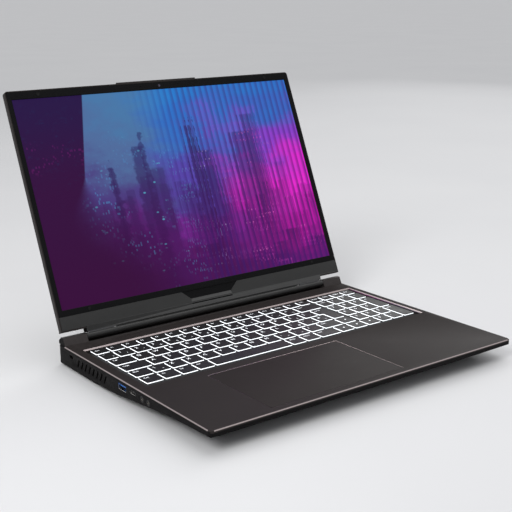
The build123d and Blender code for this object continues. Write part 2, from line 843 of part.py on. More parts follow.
def make_fan_housing(side):
    x, y, z = fan_place(side)
    half = fan_size / 2
    housing = block((x - half, y - half, z), (x + half, y + half, z + fan_height))
    plate = 0.8
    room = fan_height - 2 * plate
    housing -= Pos(x, y, z + fan_height / 2) * Cylinder(half - 4, room)
    low = (x - half + 6, y, z + plate)
    housing -= block(low, (x + half - 6, y + half + 1, z + fan_height - plate))
    for inlet_z in (z, z + fan_height):
        ring = Cylinder(23, 3 * plate) - Cylinder(11, 3 * plate)
        for angle in (0, 120, 240):
            spoke = Rot(0, 0, angle) * Pos(17, 0, 0) * Box(14, 3, 4 * plate)
            ring -= spoke
        housing -= Pos(x, y, inlet_z) * ring
    return housing


def make_fan_impeller(side):
    x, y, z = fan_place(side)
    half = fan_size / 2
    reach = half - 6
    low = z + 1.4
    height = fan_height - 2.8
    wheel = Pos(x, y, low + height / 2) * Cylinder(hub_radius, height)
    for i in range(blade_count):
        turn = Rot(0, 0, 360 / blade_count * i)
        place = turn * Pos((reach + hub_radius) / 2 - 0.4, 4.0, 0) * Rot(0, 0, 14)
        blade = place * Box(reach - hub_radius, 0.8, height)
        wheel += Pos(x, y, low + height / 2) * blade
    return wheel


def make_mainboard():
    y0 = well_front - 9
    y1 = fan_front - 3
    y2 = base_depth - 20
    side_x = half_width - socket_length - 2
    middle_x = fan_x - fan_size / 2 - 3
    board = block((-side_x, y0, board_under), (side_x, y1, board_top))
    board += block((-middle_x, y1, board_under), (middle_x, y2, board_top))
    for side in (-1, 1):
        low = (side * 30 - 15, y2 - 52, board_under - 1.2)
        board += block(low, (side * 30 + 15, y2 - 24, board_under))
    return board


cold_plate_low = board_depth_below_deck + board_thickness + 1.2 + 1.6
pipe_height = 2.8
pipe_width = 7.0


def make_cold_plate():
    y2 = base_depth - 20
    low = (-52, y2 - 56, deck_z - cold_plate_low)
    return block(low, (52, y2 - 20, board_under - 1.2))


def pipe_path(offset):
    """The middle line of a heat pipe, from one fin stack to the other."""
    y_fin = base_depth - fan_to_rear + 9 + offset
    y_mid = base_depth - 62 + offset
    x_out = fan_x + fan_size / 2 - 2
    x_turn = fan_x - fan_size / 2 - 8
    points = [(-x_out, y_fin), (-x_turn, y_fin), (-x_turn + 16, y_mid)]
    points += [(-x, y) for x, y in reversed(points)]
    return FilletPolyline(*points, radius=9)


def make_heat_pipes():
    z = deck_z - cold_plate_low - pipe_height / 2
    pipes = []
    for offset in (0.0, 9.5):
        path = Pos(0, 0, z) * pipe_path(offset)
        start = Plane(origin=path @ 0, z_dir=path % 0)
        section = start * Rectangle(pipe_width, pipe_height)
        section = fillet(section.vertices(), 1.2)
        pipes.append(sweep(section, path=path))
    return Compound(children=pipes)


def make_fin_stacks(pipes):
    stacks = []
    y0 = base_depth - fan_to_rear + 0.5
    y1 = base_depth - 3 * wall - 0.5
    for side in (-1, 1):
        x0 = side * fan_x - fan_size / 2
        z0 = inner_floor + 0.4
        z1 = inner_floor + fan_height - 0.4
        stack = block((x0, y0, z1 - 0.8), (x0 + fan_size, y1, z1))
        for i in range(int(fan_size / fin_pitch)):
            x = x0 + i * fin_pitch
            stack += block((x, y0, z0), (x + 0.8, y1, z1))
        for pipe in pipes.children:
            stack -= pipe
        stacks.append(stack)
    return stacks


def make_battery():
    y0 = 28.0
    low = (-battery_width / 2, y0, inner_floor + 0.3)
    pack = block(low, (battery_width / 2, y0 + battery_depth - 4, low[2] + battery_height))
    pack = fillet(pack.edges().filter_by(Axis.Z), 3)
    for i in range(1, 4):
        x = -battery_width / 2 + battery_width / 4 * i
        groove_low = (x - 0.6, y0 - 1, low[2] + battery_height - 0.8)
        pack -= block(groove_low, (x + 0.6, y0 + battery_depth, low[2] + battery_height + 1))
    return pack


def make_speakers():
    inner_x = battery_width / 2 + 5
    low = (inner_x, 34, inner_floor + 0.3)
    speaker = block(low, (inner_x + 24, 84, low[2] + 5.0))
    speaker = fillet(speaker.edges().filter_by(Axis.Z), 3)
    speaker -= Pos(inner_x + 12, 59, low[2] + 5.0) * Cylinder(8, 2)
    return Compound(children=[speaker, mirrored(speaker)])


def make_memory_modules():
    modules = []
    for x0 in (-66.0, 2.0):
        low = (x0, well_front - 3, board_under - 3.4)
        modules.append(block(low, (x0 + 64, well_front + 27, board_under - 2.2)))
        low = (x0, well_front - 7, board_under - 4.4)
        modules[-1] += block(low, (x0 + 64, well_front - 3, board_under))
    return Compound(children=modules)


def make_ssd_module():
    low = (72, well_front - 1, board_under - 3.0)
    card = block(low, (142, well_front + 21, board_under - 2.0))
    card += block((72, low[1], board_under - 3.6), (77, well_front + 21, board_under))
    for x in (84.0, 104.0, 122.0):
        card += block((x, low[1] + 4, board_under - 2.0), (x + 14, low[1] + 18, board_under - 0.8))
    return card


def make_wireless_card():
    low = (-104, well_front, board_under - 2.4)
    card = block(low, (-74, well_front + 22, board_under - 1.4))
    card += block((-80, well_front, board_under - 3.0), (-74, well_front + 22, board_under))
    return card


# ---- All nodes ------------------------------------------------------------------------


def all_nodes():
    """Every piece of the laptop by name, in its place, with y 0 at the front edge."""
    nodes = {
        "deck_cover": make_deck_cover(),
        "bottom_cover": make_bottom_cover(),
        "rear_grilles": make_rear_grilles(),
        "rubber_feet": make_rubber_feet(),
        "bottom_screws": make_bottom_screws(),
        "power_button": make_power_button(),
        "touchpad": make_touchpad(),
        "usb_a_sockets": make_usb_a_sockets(),
        "usb_c_sockets": make_usb_c_sockets(),
        "audio_jacks": make_audio_jacks(),
        "hdmi_socket": make_hdmi_socket(),
        "dc_inlet": make_dc_inlet(),
        "hinge_cap_right": make_hinge_cap(),
        "hinge_mount_right": make_hinge_mount(),
        "keyboard_plate": make_keyboard_plate(),
        "mainboard": make_mainboard(),
        "cold_plate": make_cold_plate(),
        "heat_pipes": make_heat_pipes(),
        "battery_pack": make_battery(),
        "speakers": make_speakers(),
        "memory_modules": make_memory_modules(),
        "ssd_module": make_ssd_module(),
        "wireless_card": make_wireless_card(),
        "lid_back_cover": opened(make_lid_back_cover()),
        "lid_bezel": opened(make_lid_bezel()),
        "lid_chin": opened(make_lid_chin()),
        "hinge_barrel": opened(make_hinge_barrel()),
        "hinge_arm_right": opened(make_hinge_arm()),
        "hinge_arm_left": opened(mirrored(make_hinge_arm())),
        "lcd_panel": opened(make_lcd_panel()),
        "screen_glass": opened(make_screen_glass()),
        "webcam_board": opened(make_webcam_board()),
        "webcam_lens": opened(make_webcam_lens()),
        "lid_bumpers": opened(make_lid_bumpers()),
        "display_cable": opened(make_display_cable()),
        "wifi_antennas": opened(make_wifi_antennas()),
    }
    nodes["hinge_cap_left"] = mirrored(nodes["hinge_cap_right"])
    nodes["hinge_mount_left"] = mirrored(nodes["hinge_mount_right"])
    stacks = make_fin_stacks(nodes["heat_pipes"])
    nodes["fin_stacks"] = Compound(children=stacks)
    for side, word in ((-1, "left"), (1, "right")):
        nodes["fan_housing_" + word] = make_fan_housing(side)
        nodes["fan_impeller_" + word] = make_fan_impeller(side)
    for name, keys in key_nodes().items():
        nodes[name] = keys[0] if len(keys) == 1 else Compound(children=keys)
    return nodes


def main():
    nodes = all_nodes()
    box = Compound(children=[Compound(part.wrapped) for part in nodes.values()]).bounding_box()
    middle = (box.min.Y + box.max.Y) / 2
    os.makedirs("parts", exist_ok=True)
    for name, part in nodes.items():
        export_step(Pos(0, -middle, 0) * part, f"parts/{name}.step")
    print(len(nodes), "nodes; the whole laptop is", box.size)
    print("middle y", middle, "hinge axis", hinge_y - middle, hinge_z)


if __name__ == "__main__":
    main()
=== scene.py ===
import json
import math

import bmesh
import bpy
from bpy.props import FloatProperty, FloatVectorProperty, PointerProperty
from mathutils import Matrix, Vector

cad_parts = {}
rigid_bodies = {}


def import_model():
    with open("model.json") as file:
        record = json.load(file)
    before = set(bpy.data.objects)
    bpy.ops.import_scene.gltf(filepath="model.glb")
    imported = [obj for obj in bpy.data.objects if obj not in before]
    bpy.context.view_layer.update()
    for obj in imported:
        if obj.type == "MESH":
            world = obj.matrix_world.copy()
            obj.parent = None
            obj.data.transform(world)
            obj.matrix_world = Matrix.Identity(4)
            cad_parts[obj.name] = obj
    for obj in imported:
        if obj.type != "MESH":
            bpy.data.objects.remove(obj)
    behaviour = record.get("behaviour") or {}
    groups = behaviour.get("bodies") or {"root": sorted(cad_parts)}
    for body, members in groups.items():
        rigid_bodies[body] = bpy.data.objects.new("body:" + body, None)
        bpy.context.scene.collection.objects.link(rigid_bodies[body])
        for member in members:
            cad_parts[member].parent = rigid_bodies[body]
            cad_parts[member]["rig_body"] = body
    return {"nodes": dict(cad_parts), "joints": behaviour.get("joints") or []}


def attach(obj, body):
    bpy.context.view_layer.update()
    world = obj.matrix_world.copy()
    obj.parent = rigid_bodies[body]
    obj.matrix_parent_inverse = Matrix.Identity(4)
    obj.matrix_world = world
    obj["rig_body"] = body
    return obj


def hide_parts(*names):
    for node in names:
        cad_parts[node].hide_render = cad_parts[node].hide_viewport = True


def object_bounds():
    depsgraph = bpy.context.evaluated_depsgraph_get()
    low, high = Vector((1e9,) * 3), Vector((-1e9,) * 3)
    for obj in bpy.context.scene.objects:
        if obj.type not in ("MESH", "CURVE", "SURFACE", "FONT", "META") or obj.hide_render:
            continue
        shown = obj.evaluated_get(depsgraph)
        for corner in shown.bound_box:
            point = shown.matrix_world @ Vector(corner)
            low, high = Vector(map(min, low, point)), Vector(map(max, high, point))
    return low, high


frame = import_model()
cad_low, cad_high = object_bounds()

bl_info = {
    "name": "Laptop Computer Finish",
    "version": (1, 0, 0),
    "blender": (4, 5, 0),
    "location": "View3D > Sidebar > Laptop",
    "description": "Builds the finishes, keycaps and small pieces of a laptop round its packed model",
    "category": "Object",
}

MM = 0.001
HINGE = next(j for j in frame["joints"] if j["name"] == "lid_hinge")


# ---- Settings --------------------------------------------------------------------------


def length(name, text, default):
    return FloatProperty(name=name, description=text, default=default, unit="LENGTH", precision=5)


def colour(name, text, default):
    return FloatVectorProperty(
        name=name, description=text, default=default, subtype="COLOR", min=0.0, max=1.0
    )


def angle(name, text, degrees):
    default = math.radians(degrees)
    return FloatProperty(name=name, description=text, default=default, subtype="ANGLE")


class KeySizes(bpy.types.PropertyGroup):
    corner: length("Corner radius", "Radius of a key's corners in plan", 1.1 * MM)
    skirt: length("Skirt height", "Height of the lit skirt round the foot of each key", 0.85 * MM)
    dish: length("Dish depth", "How far the middle of a key's top is sunk", 0.09 * MM)
    letter: length("Letter size", "Height of the letter type on the keys", 5.6 * MM)
    word: length("Word size", "Height of the word type on the keys", 3.3 * MM)


class ScreenSizes(bpy.types.PropertyGroup):
    width: length("Picture width", "Width of the lit picture", 344.7 * MM)
    height: length("Picture height", "Height of the lit picture", 215.4 * MM)
    start: length("Picture start", "Distance from the hinge axis to the picture", 29.0 * MM)
    rib: length("Rib pitch", "Distance between the ribs of the picture", 7.8 * MM)
    glow: FloatProperty(name="Glow", description="Strength of the picture's light", default=0.92)


class FinishColours(bpy.types.PropertyGroup):
    deck: colour("Deck", "Anodised metal of the deck", (0.027, 0.0232, 0.0225))
    cut_edge: colour("Cut edge", "Bright bevel along the deck's edges", (0.62, 0.53, 0.52))
    casing: colour("Casing", "Plastic of the bottom casing", (0.0062, 0.0057, 0.0059))
    bezel: colour("Bezel", "Plastic round the screen", (0.0065, 0.0065, 0.0069))
    chin: colour("Chin", "Plastic between the screen and the hinge", (0.024, 0.024, 0.0235))
    keycap: colour("Keycap", "Plastic of the key tops", (0.009, 0.009, 0.0095))
    key_light: colour("Key light", "Light in the key skirts and legends", (0.93, 0.965, 1.0))
    tongue: colour("Socket tongue", "Plastic tongue of the large sockets", (0.01, 0.11, 0.42))


class StageSizes(bpy.types.PropertyGroup):
    azimuth: angle("Azimuth", "Camera's turn round the laptop", -36.86)
    elevation: angle("Elevation", "Camera's height angle", 14.71)
    roll: angle("Roll", "Camera's tilt", -0.377)
    distance: length("Distance", "Camera to the point it looks at", 0.9214)
    lens: FloatProperty(name="Lens", description="Focal length on a 36 mm sensor", default=72.98)


SETTINGS = {
    "laptop_keys": KeySizes,
    "laptop_screen": ScreenSizes,
    "laptop_colours": FinishColours,
    "laptop_stage": StageSizes,
}


def settings():
    return bpy.context.scene


# ---- Shader helpers ----------------------------------------------------------------------


def add(tree, kind, inputs=None, **values):
    """A node with its settings, whose inputs are values or the sockets that feed them."""
    made = tree.nodes.new(kind)
    for name, value in values.items():
        setattr(made, name, value)
    for key, value in (inputs or {}).items():
        if isinstance(value, bpy.types.NodeSocket):
            tree.links.new(value, made.inputs[key])
        else:
            made.inputs[key].default_value = value
    return made


def maths(tree, operation, a, b=0.0):
    return add(tree, "ShaderNodeMath", {0: a, 1: b}, operation=operation).outputs[0]


def times(tree, a, b):
    return maths(tree, "MULTIPLY", a, b)


def spread(tree, value, low, high, to_low=0.0, to_high=1.0, smooth=True):
    """Maps value from one range to another."""
    kind = "SMOOTHSTEP" if smooth else "LINEAR"
    inputs = {"Value": value, "From Min": low, "From Max": high, "To Min": to_low, "To Max": to_high}
    return add(tree, "ShaderNodeMapRange", inputs, interpolation_type=kind).outputs[0]


def mixed(tree, share, a, b, blend="MIX"):
    inputs = {0: share, 6: a, 7: b}
    return add(tree, "ShaderNodeMix", inputs, data_type="RGBA", blend_type=blend).outputs[2]


def place_of(tree):
    return add(tree, "ShaderNodeTexCoord").outputs["Object"]


def noise(tree, where, scale, detail=3.0, rough=0.5):
    inputs = {"Vector": where, "Scale": scale, "Detail": detail, "Roughness": rough}
    return add(tree, "ShaderNodeTexNoise", inputs).outputs["Fac"]


def new_group(name, inputs, outputs):
    """A shader node group with named sockets, and its input and output nodes."""
    tree = bpy.data.node_groups.new(name, "ShaderNodeTree")
    for socket, kind, default in inputs:
        made = tree.interface.new_socket(socket, in_out="INPUT", socket_type=kind)
        made.default_value = default
    for socket, kind in outputs:
        tree.interface.new_socket(socket, in_out="OUTPUT", socket_type=kind)
    return tree, tree.nodes.new("NodeGroupInput"), tree.nodes.new("NodeGroupOutput")


def use_group(tree, name, **inputs):
    made = tree.nodes.new("ShaderNodeGroup")
    made.node_tree = bpy.data.node_groups[name]
    for key, value in inputs.items():
        made.inputs[key.replace("_", " ").capitalize()].default_value = value
    return made


FLOAT = "NodeSocketFloat"
RGBA = "NodeSocketColor"


def group_grain():
    """Fine blasted or moulded grain: a height and a speckle mask."""
    taken_in = [("Size", FLOAT, 0.15), ("Unevenness", FLOAT, 0.5)]
    tree, taken, given = new_group("fine_grain", taken_in, [("Height", FLOAT), ("Speckle", FLOAT)])
    where = place_of(tree)
    scale = maths(tree, "DIVIDE", 1000.0, taken.outputs["Size"])
    fine = noise(tree, where, scale, 2.0, 0.6)
    coarse = noise(tree, where, times(tree, scale, 0.23), 2.0, 0.5)
    share = times(tree, coarse, taken.outputs["Unevenness"])
    tree.links.new(maths(tree, "ADD", fine, share), given.inputs["Height"])
    tree.links.new(spread(tree, fine, 0.35, 0.7), given.inputs["Speckle"])


def group_handling():
    """Smudges from hands and slow changes of tone over a large surface."""
    taken_in = [("Size", FLOAT, 30.0), ("Amount", FLOAT, 0.5)]
    tree, taken, given = new_group("handling_marks", taken_in, [("Smudge", FLOAT), ("Tone", FLOAT)])
    where = place_of(tree)
    scale = maths(tree, "DIVIDE", 1000.0, taken.outputs["Size"])
    broad = noise(tree, where, scale, 4.0, 0.62)
    streaks = noise(tree, where, times(tree, scale, 5.0), 5.0, 0.7)
    patch = times(tree, spread(tree, broad, 0.42, 0.68), spread(tree, streaks, 0.35, 0.7))
    tree.links.new(times(tree, patch, taken.outputs["Amount"]), given.inputs["Smudge"])
    tree.links.new(broad, given.inputs["Tone"])


def group_wear():
    """Where edges and corners stick out and have been rubbed."""
    tree, taken, given = new_group("edge_wear", [("Amount", FLOAT, 0.4)], [("Mask", FLOAT)])
    sharp = add(tree, "ShaderNodeNewGeometry").outputs["Pointiness"]
    ragged = noise(tree, place_of(tree), 220.0, 4.0, 0.7)
    mask = times(tree, spread(tree, sharp, 0.52, 0.62), spread(tree, ragged, 0.35, 0.65))
    tree.links.new(times(tree, mask, taken.outputs["Amount"]), given.inputs["Mask"])


def group_dust():
    """A little dust on what faces up."""
    tree, taken, given = new_group("settled_dust", [("Amount", FLOAT, 0.3)], [("Mask", FLOAT)])
    normal = add(tree, "ShaderNodeNewGeometry").outputs["Normal"]
    up = add(tree, "ShaderNodeSeparateXYZ", {0: normal}).outputs["Z"]
    specks = spread(tree, noise(tree, place_of(tree), 900.0, 3.0, 0.75), 0.6, 0.76)
    mask = times(tree, spread(tree, up, 0.4, 0.95), specks)
    tree.links.new(times(tree, mask, taken.outputs["Amount"]), given.inputs["Mask"])


def group_brushed():
    """Long fine lines along X, as on rolled or brushed metal."""
    given_out = [("Height", FLOAT), ("Tone", FLOAT)]
    tree, taken, given = new_group("brushed_lines", [("Size", FLOAT, 0.2)], given_out)
    scale = maths(tree, "DIVIDE", 1000.0, taken.outputs["Size"])
    stretched = add(
        tree, "ShaderNodeVectorMath", {0: place_of(tree), 1: (0.02, 1.0, 1.0)}, operation="MULTIPLY"
    ).outputs[0]
    lines = noise(tree, stretched, scale, 3.0, 0.6)
    tree.links.new(lines, given.inputs["Height"])
    tree.links.new(spread(tree, lines, 0.3, 0.7), given.inputs["Tone"])


def group_tracks():
    """Copper tracks and pads under a solder mask."""
    given_out = [("Track", FLOAT), ("Pad", FLOAT)]
    tree, taken, given = new_group("board_tracks", [("Size", FLOAT, 3.0)], given_out)
    where = place_of(tree)
    scale = maths(tree, "DIVIDE", 1000.0, taken.outputs["Size"])
    grid = add(tree, "ShaderNodeTexVoronoi", {"Vector": where, "Scale": scale}, distance="MANHATTAN")
    cells = grid.outputs["Distance"]
    rings = maths(tree, "PINGPONG", cells, 0.11)
    tree.links.new(spread(tree, rings, 0.04, 0.07), given.inputs["Track"])
    tree.links.new(spread(tree, cells, 0.16, 0.1), given.inputs["Pad"])


def along_lid():
    """The direction up the lid at rest, and the direction that its screen faces."""
    glass = frame["nodes"]["screen_glass"]
    widest = max(glass.data.polygons, key=lambda p: p.area)
    facing = widest.normal.copy()
    if facing.y > 0:
        facing.negate()
    return facing.cross(Vector((1, 0, 0))).normalized(), facing


def bumped(tree, shader, height, strength, distance):
    """Gives the shader a normal from a height, whose full depth is in metres."""
    inputs = {"Height": height, "Strength": strength, "Distance": distance}
    tree.links.new(add(tree, "ShaderNodeBump", inputs).outputs[0], shader.inputs["Normal"])


def ramp(tree, value, stops):
    """A colour ramp with (place, red, green, blue) stops."""
    made = add(tree, "ShaderNodeValToRGB", {0: value})
    made.color_ramp.interpolation = "EASE"
    elements = made.color_ramp.elements
    while len(elements) < len(stops):
        elements.new(0.5)
    for element, (at, *rgb) in zip(elements, stops):
        element.position = at
        element.color = (*rgb, 1.0)
    return made.outputs["Color"]


# Tones of the picture from its foot to its top: share of the height, red, green and blue
HAZE_SKY = (
    (0.0, 0.06, 0.004, 0.065),
    (0.22, 0.085, 0.010, 0.13),
    (0.45, 0.075, 0.045, 0.22),
    (0.75, 0.085, 0.16, 0.36),
    (1.0, 0.07, 0.20, 0.42),
)
BLUE_SKY = (
    (0.0, 0.10, 0.006, 0.10),
    (0.25, 0.20, 0.020, 0.30),
    (0.5, 0.10, 0.06, 0.42),
    (0.78, 0.03, 0.17, 0.60),
    (1.0, 0.022, 0.22, 0.66),
)
PINK_SKY = (
    (0.0, 0.20, 0.010, 0.26),
    (0.2, 0.60, 0.010, 0.44),
    (0.42, 0.86, 0.022, 0.66),
    (0.7, 0.26, 0.055, 0.62),
    (0.9, 0.045, 0.14, 0.56),
    (1.0, 0.030, 0.17, 0.60),
)
SIDE_PANEL = (
    (0.0, 0.042, 0.002, 0.046),
    (0.5, 0.038, 0.003, 0.050),
    (1.0, 0.022, 0.007, 0.064),
)
TOWERS = (  # place across, half width, top, softness and darkness of the picture's towers
    (0.262, 0.014, 0.63, 0.004, 0.8),
    (0.262, 0.003, 0.70, 0.002, 0.8),
    (0.300, 0.018, 0.48, 0.006, 0.55),
    (0.365, 0.024, 0.72, 0.005, 0.7),
    (0.385, 0.012, 0.79, 0.004, 0.7),
    (0.420, 0.030, 0.60, 0.010, 0.6),
    (0.565, 0.020, 0.80, 0.004, 0.75),
    (0.578, 0.004, 0.88, 0.002, 0.75),
    (0.610, 0.024, 0.66, 0.006, 0.7),
    (0.520, 0.026, 0.50, 0.010, 0.6),
    (0.760, 0.050, 0.74, 0.006, 0.55),
    (0.800, 0.030, 0.83, 0.005, 0.5),
    (0.880, 0.024, 0.55, 0.010, 0.3),
)
SKYLINES = (  # columns across, lowest and highest top, seed and darkness of the rows of roofs
    (34.0, 0.22, 0.58, 3.0, 0.34),
    (61.0, 0.16, 0.42, 11.0, 0.42),
    (19.0, 0.03, 0.20, 27.0, 0.62),
)


def group_picture():
    """The lit picture: a dark panel on the left, a blue sky and a pink glow with dim towers behind
    ribbed glass."""
    tree, taken, given = new_group("screen_picture", [("Ribs", FLOAT, 47.0)], [("Colour", RGBA)])
    sizes = settings().laptop_screen
    up, _ = along_lid()
    axis = Vector(HINGE["pos_m"])
    where = place_of(tree)
    across = add(tree, "ShaderNodeSeparateXYZ", {0: where}).outputs["X"]
    u = spread(tree, across, -sizes.width / 2, sizes.width / 2, smooth=False)
    along = add(tree, "ShaderNodeVectorMath", {0: where, 1: tuple(up)}, operation="DOT_PRODUCT")
    height = along.outputs["Value"]
    low = axis.dot(up) + sizes.start
    v = spread(tree, height, low, low + sizes.height, smooth=False)

    ribs = maths(tree, "FRACT", times(tree, u, taken.outputs["Ribs"]))
    rib_start = spread(tree, v, 0.0, 1.0, 0.42, 0.37, smooth=False)
    rib_area = spread(tree, maths(tree, "SUBTRACT", u, rib_start), -0.04, 0.22)
    pull = times(tree, maths(tree, "SUBTRACT", ribs, 0.5), times(tree, rib_area, 0.035))
    seen_u = maths(tree, "ADD", u, pull)
    plane = add(tree, "ShaderNodeCombineXYZ", {"X": seen_u, "Y": v}).outputs[0]
    clouds = noise(tree, plane, 4.0, 5.0, 0.6)
    bent_v = maths(tree, "ADD", v, spread(tree, clouds, 0.3, 0.7, -0.16, 0.16, smooth=False))
    bent_u = maths(tree, "ADD", seen_u, spread(tree, clouds, 0.3, 0.7, 0.09, -0.09, smooth=False))

    haze = ramp(tree, bent_v, HAZE_SKY)
    blue = ramp(tree, bent_v, BLUE_SKY)
    pink = ramp(tree, bent_v, PINK_SKY)
    picture = mixed(tree, spread(tree, bent_u, 0.30, 0.55), haze, blue)
    picture = mixed(tree, spread(tree, bent_u, 0.60, 0.88), picture, pink)

    rough = noise(tree, plane, 26.0, 2.0, 0.6)
    shade = mixed(tree, spread(tree, v, 0.2, 0.9), (0.05, 0.004, 0.085, 1.0), (0.028, 0.035, 0.16, 1.0))
    for place, half, top, soft, dark in TOWERS:
        taper = spread(tree, v, 0.0, top, -0.012, 0.006, smooth=False)
        ragged = maths(tree, "ADD", taper, times(tree, maths(tree, "SUBTRACT", rough, 0.5), 0.035))
        offset = maths(tree, "ABSOLUTE", maths(tree, "SUBTRACT", seen_u, place))
        walls = spread(tree, maths(tree, "ADD", offset, ragged), half + soft, half - soft)
        body = times(tree, walls, spread(tree, v, top + soft, top - soft))
        fade = spread(tree, v, 0.05, 0.45, 0.35 * dark, dark)
        picture = mixed(tree, times(tree, body, fade), picture, shade)

    for columns, low_top, high_top, seed, dark in SKYLINES:
        column = maths(tree, "ADD", maths(tree, "FLOOR", times(tree, seen_u, columns)), seed)
        scattered = add(tree, "ShaderNodeTexWhiteNoise", {"W": column}, noise_dimensions="1D")
        chance = scattered.outputs["Value"]
        roof = spread(tree, chance, 0.0, 1.0, low_top, high_top, smooth=False)
        below = spread(tree, maths(tree, "SUBTRACT", v, roof), 0.004, -0.004)
        fade = spread(tree, v, 0.0, high_top, 0.45 * dark, dark)
        picture = mixed(tree, times(tree, below, fade), picture, shade)

    window_u = maths(tree, "FLOOR", times(tree, seen_u, 210.0))
    window_v = maths(tree, "FLOOR", times(tree, v, 96.0))
    window = add(tree, "ShaderNodeCombineXYZ", {"X": window_u, "Y": window_v}).outputs[0]
    scattered = add(tree, "ShaderNodeTexWhiteNoise", {"Vector": window}, noise_dimensions="2D")
    chance = scattered.outputs["Value"]
    crowded = spread(tree, noise(tree, plane, 7.0, 2.0), 0.46, 0.66)
    lit_area = times(tree, crowded, spread(tree, v, 0.86, 0.6))
    lit = times(tree, times(tree, spread(tree, chance, 0.88, 0.92), lit_area), 0.4)
    warm = spread(tree, bent_u, 0.5, 0.75)
    glow_tone = mixed(tree, warm, (0.08, 0.30, 0.62, 1.0), (0.75, 0.08, 0.60, 1.0))
    picture = mixed(tree, lit, picture, glow_tone)

    grid = add(tree, "ShaderNodeTexVoronoi", {"Vector": plane, "Scale": 70.0}, feature="F1")
    spark = add(tree, "ShaderNodeSeparateColor", {0: grid.outputs["Color"]}).outputs[0]
    near_lamp = spread(tree, grid.outputs["Distance"], 0.45, 0.2)
    lamps = times(tree, spread(tree, spark, 0.90, 0.93), near_lamp)
    crowded = spread(tree, noise(tree, plane, 9.0, 2.0), 0.5, 0.62)
    lamp_area = times(tree, crowded, spread(tree, v, 0.9, 0.6))
    lamp_tone = mixed(tree, spread(tree, u, 0.45, 0.8), (0.10, 0.42, 0.62, 1.0), (0.80, 0.12, 0.55, 1.0))
    picture = mixed(tree, times(tree, times(tree, lamps, lamp_area), 0.75), picture, lamp_tone)

    stripe = times(tree, spread(tree, ribs, 0.25, 0.75), spread(tree, ribs, 1.0, 0.88))
    rib_dark = times(tree, times(tree, stripe, rib_area), spread(tree, v, 0.95, 0.3, 0.5, 0.72))
    picture = mixed(tree, rib_dark, picture, mixed(tree, 0.85, picture, (0.04, 0.008, 0.13, 1.0)))

    panel = ramp(tree, v, SIDE_PANEL)
    mottled = spread(tree, noise(tree, plane, 30.0, 4.0, 0.8), 0.55, 0.75)
    far = times(tree, mottled, spread(tree, v, 0.4, 0.7))
    panel = mixed(tree, times(tree, far, 0.5), panel, (0.015, 0.03, 0.11, 1.0))
    sign_area = times(tree, spread(tree, v, 0.62, 0.66), spread(tree, v, 0.80, 0.76))
    sign_groups = spread(tree, noise(tree, plane, 12.0), 0.5, 0.6)
    signs = times(tree, times(tree, spread(tree, chance, 0.78, 0.82), sign_area), sign_groups)
    panel = mixed(tree, times(tree, signs, 0.22), panel, (0.25, 0.015, 0.22, 1.0))
    lean = spread(tree, v, 0.55, 1.0, 0.165, 0.226, smooth=False)
    reach = maths(tree, "ADD", lean, times(tree, spread(tree, v, 0.50, 0.0), 0.21))
    softness = spread(tree, v, 0.62, 0.25, 0.004, 0.30)
    gap = maths(tree, "DIVIDE", maths(tree, "SUBTRACT", u, reach), softness)
    picture = mixed(tree, spread(tree, gap, -0.5, 0.5), panel, picture)
    tree.links.new(picture, given.inputs["Colour"])


# ---- Materials ---------------------------------------------------------------------------


def bare_material(name):
    """An empty node material with a Principled shader joined to its output."""
    material = bpy.data.materials.new(name)
    material.use_nodes = True
    tree = material.node_tree
    tree.nodes.clear()
    shader = tree.nodes.new("ShaderNodeBsdfPrincipled")
    out = tree.nodes.new("ShaderNodeOutputMaterial")
    tree.links.new(shader.outputs[0], out.inputs["Surface"])
    return material, tree, shader


def surface(
    name,
    rgb,
    roughness,
    metallic=0.0,
    grain=0.15,
    bump=0.25,
    tone=0.15,
    smudge=0.3,
    wear=0.0,
    dust=0.15,
    coat=0.0,
    brushed=0.0,
    shine=0.5,
):
    """A hard surface with grain, smudges, worn edges and dust. Grain is in millimetres."""
    material, tree, shader = bare_material(name)
    marks = use_group(tree, "handling_marks", size=34.0, amount=1.0)
    grains = use_group(tree, "fine_grain", size=grain, unevenness=0.6)
    rgba = (*rgb, 1.0)
    darker = tuple(c * (1 - tone) for c in rgb) + (1.0,)
    lighter = tuple(min(1.0, c * (1 + tone) + 0.0015) for c in rgb) + (1.0,)
    base = mixed(tree, spread(tree, marks.outputs["Tone"], 0.3, 0.7), darker, rgba)
    base = mixed(tree, times(tree, grains.outputs["Speckle"], 0.5), base, lighter)
    rubbed = max(0.05, roughness - 0.35 * smudge)
    rough = spread(tree, marks.outputs["Smudge"], 0.0, 1.0, roughness, rubbed, smooth=False)
    height = grains.outputs["Height"]
    if brushed:
        lines = use_group(tree, "brushed_lines", size=brushed)
        base = mixed(tree, times(tree, lines.outputs["Tone"], 0.35), base, darker)
        height = lines.outputs["Height"]
    if wear:
        edge = use_group(tree, "edge_wear", amount=wear)
        pale = tuple(min(1.0, c * 2.0 + 0.005) for c in rgb) + (1.0,)
        base = mixed(tree, edge.outputs["Mask"], base, pale)
        rough = maths(tree, "SUBTRACT", rough, times(tree, edge.outputs["Mask"], 0.12))
    if dust:
        specks = use_group(tree, "settled_dust", amount=dust)
        base = mixed(tree, specks.outputs["Mask"], base, (0.15, 0.143, 0.135, 1.0))
        rough = maths(tree, "ADD", rough, times(tree, specks.outputs["Mask"], 0.4))
    bumped(tree, shader, height, bump, grain * MM)
    tree.links.new(base, shader.inputs["Base Color"])
    tree.links.new(rough, shader.inputs["Roughness"])
    shader.inputs["Metallic"].default_value = metallic
    shader.inputs["Specular IOR Level"].default_value = shine
    shader.inputs["Coat Weight"].default_value = coat
    shader.inputs["Coat Roughness"].default_value = 0.25
    return material


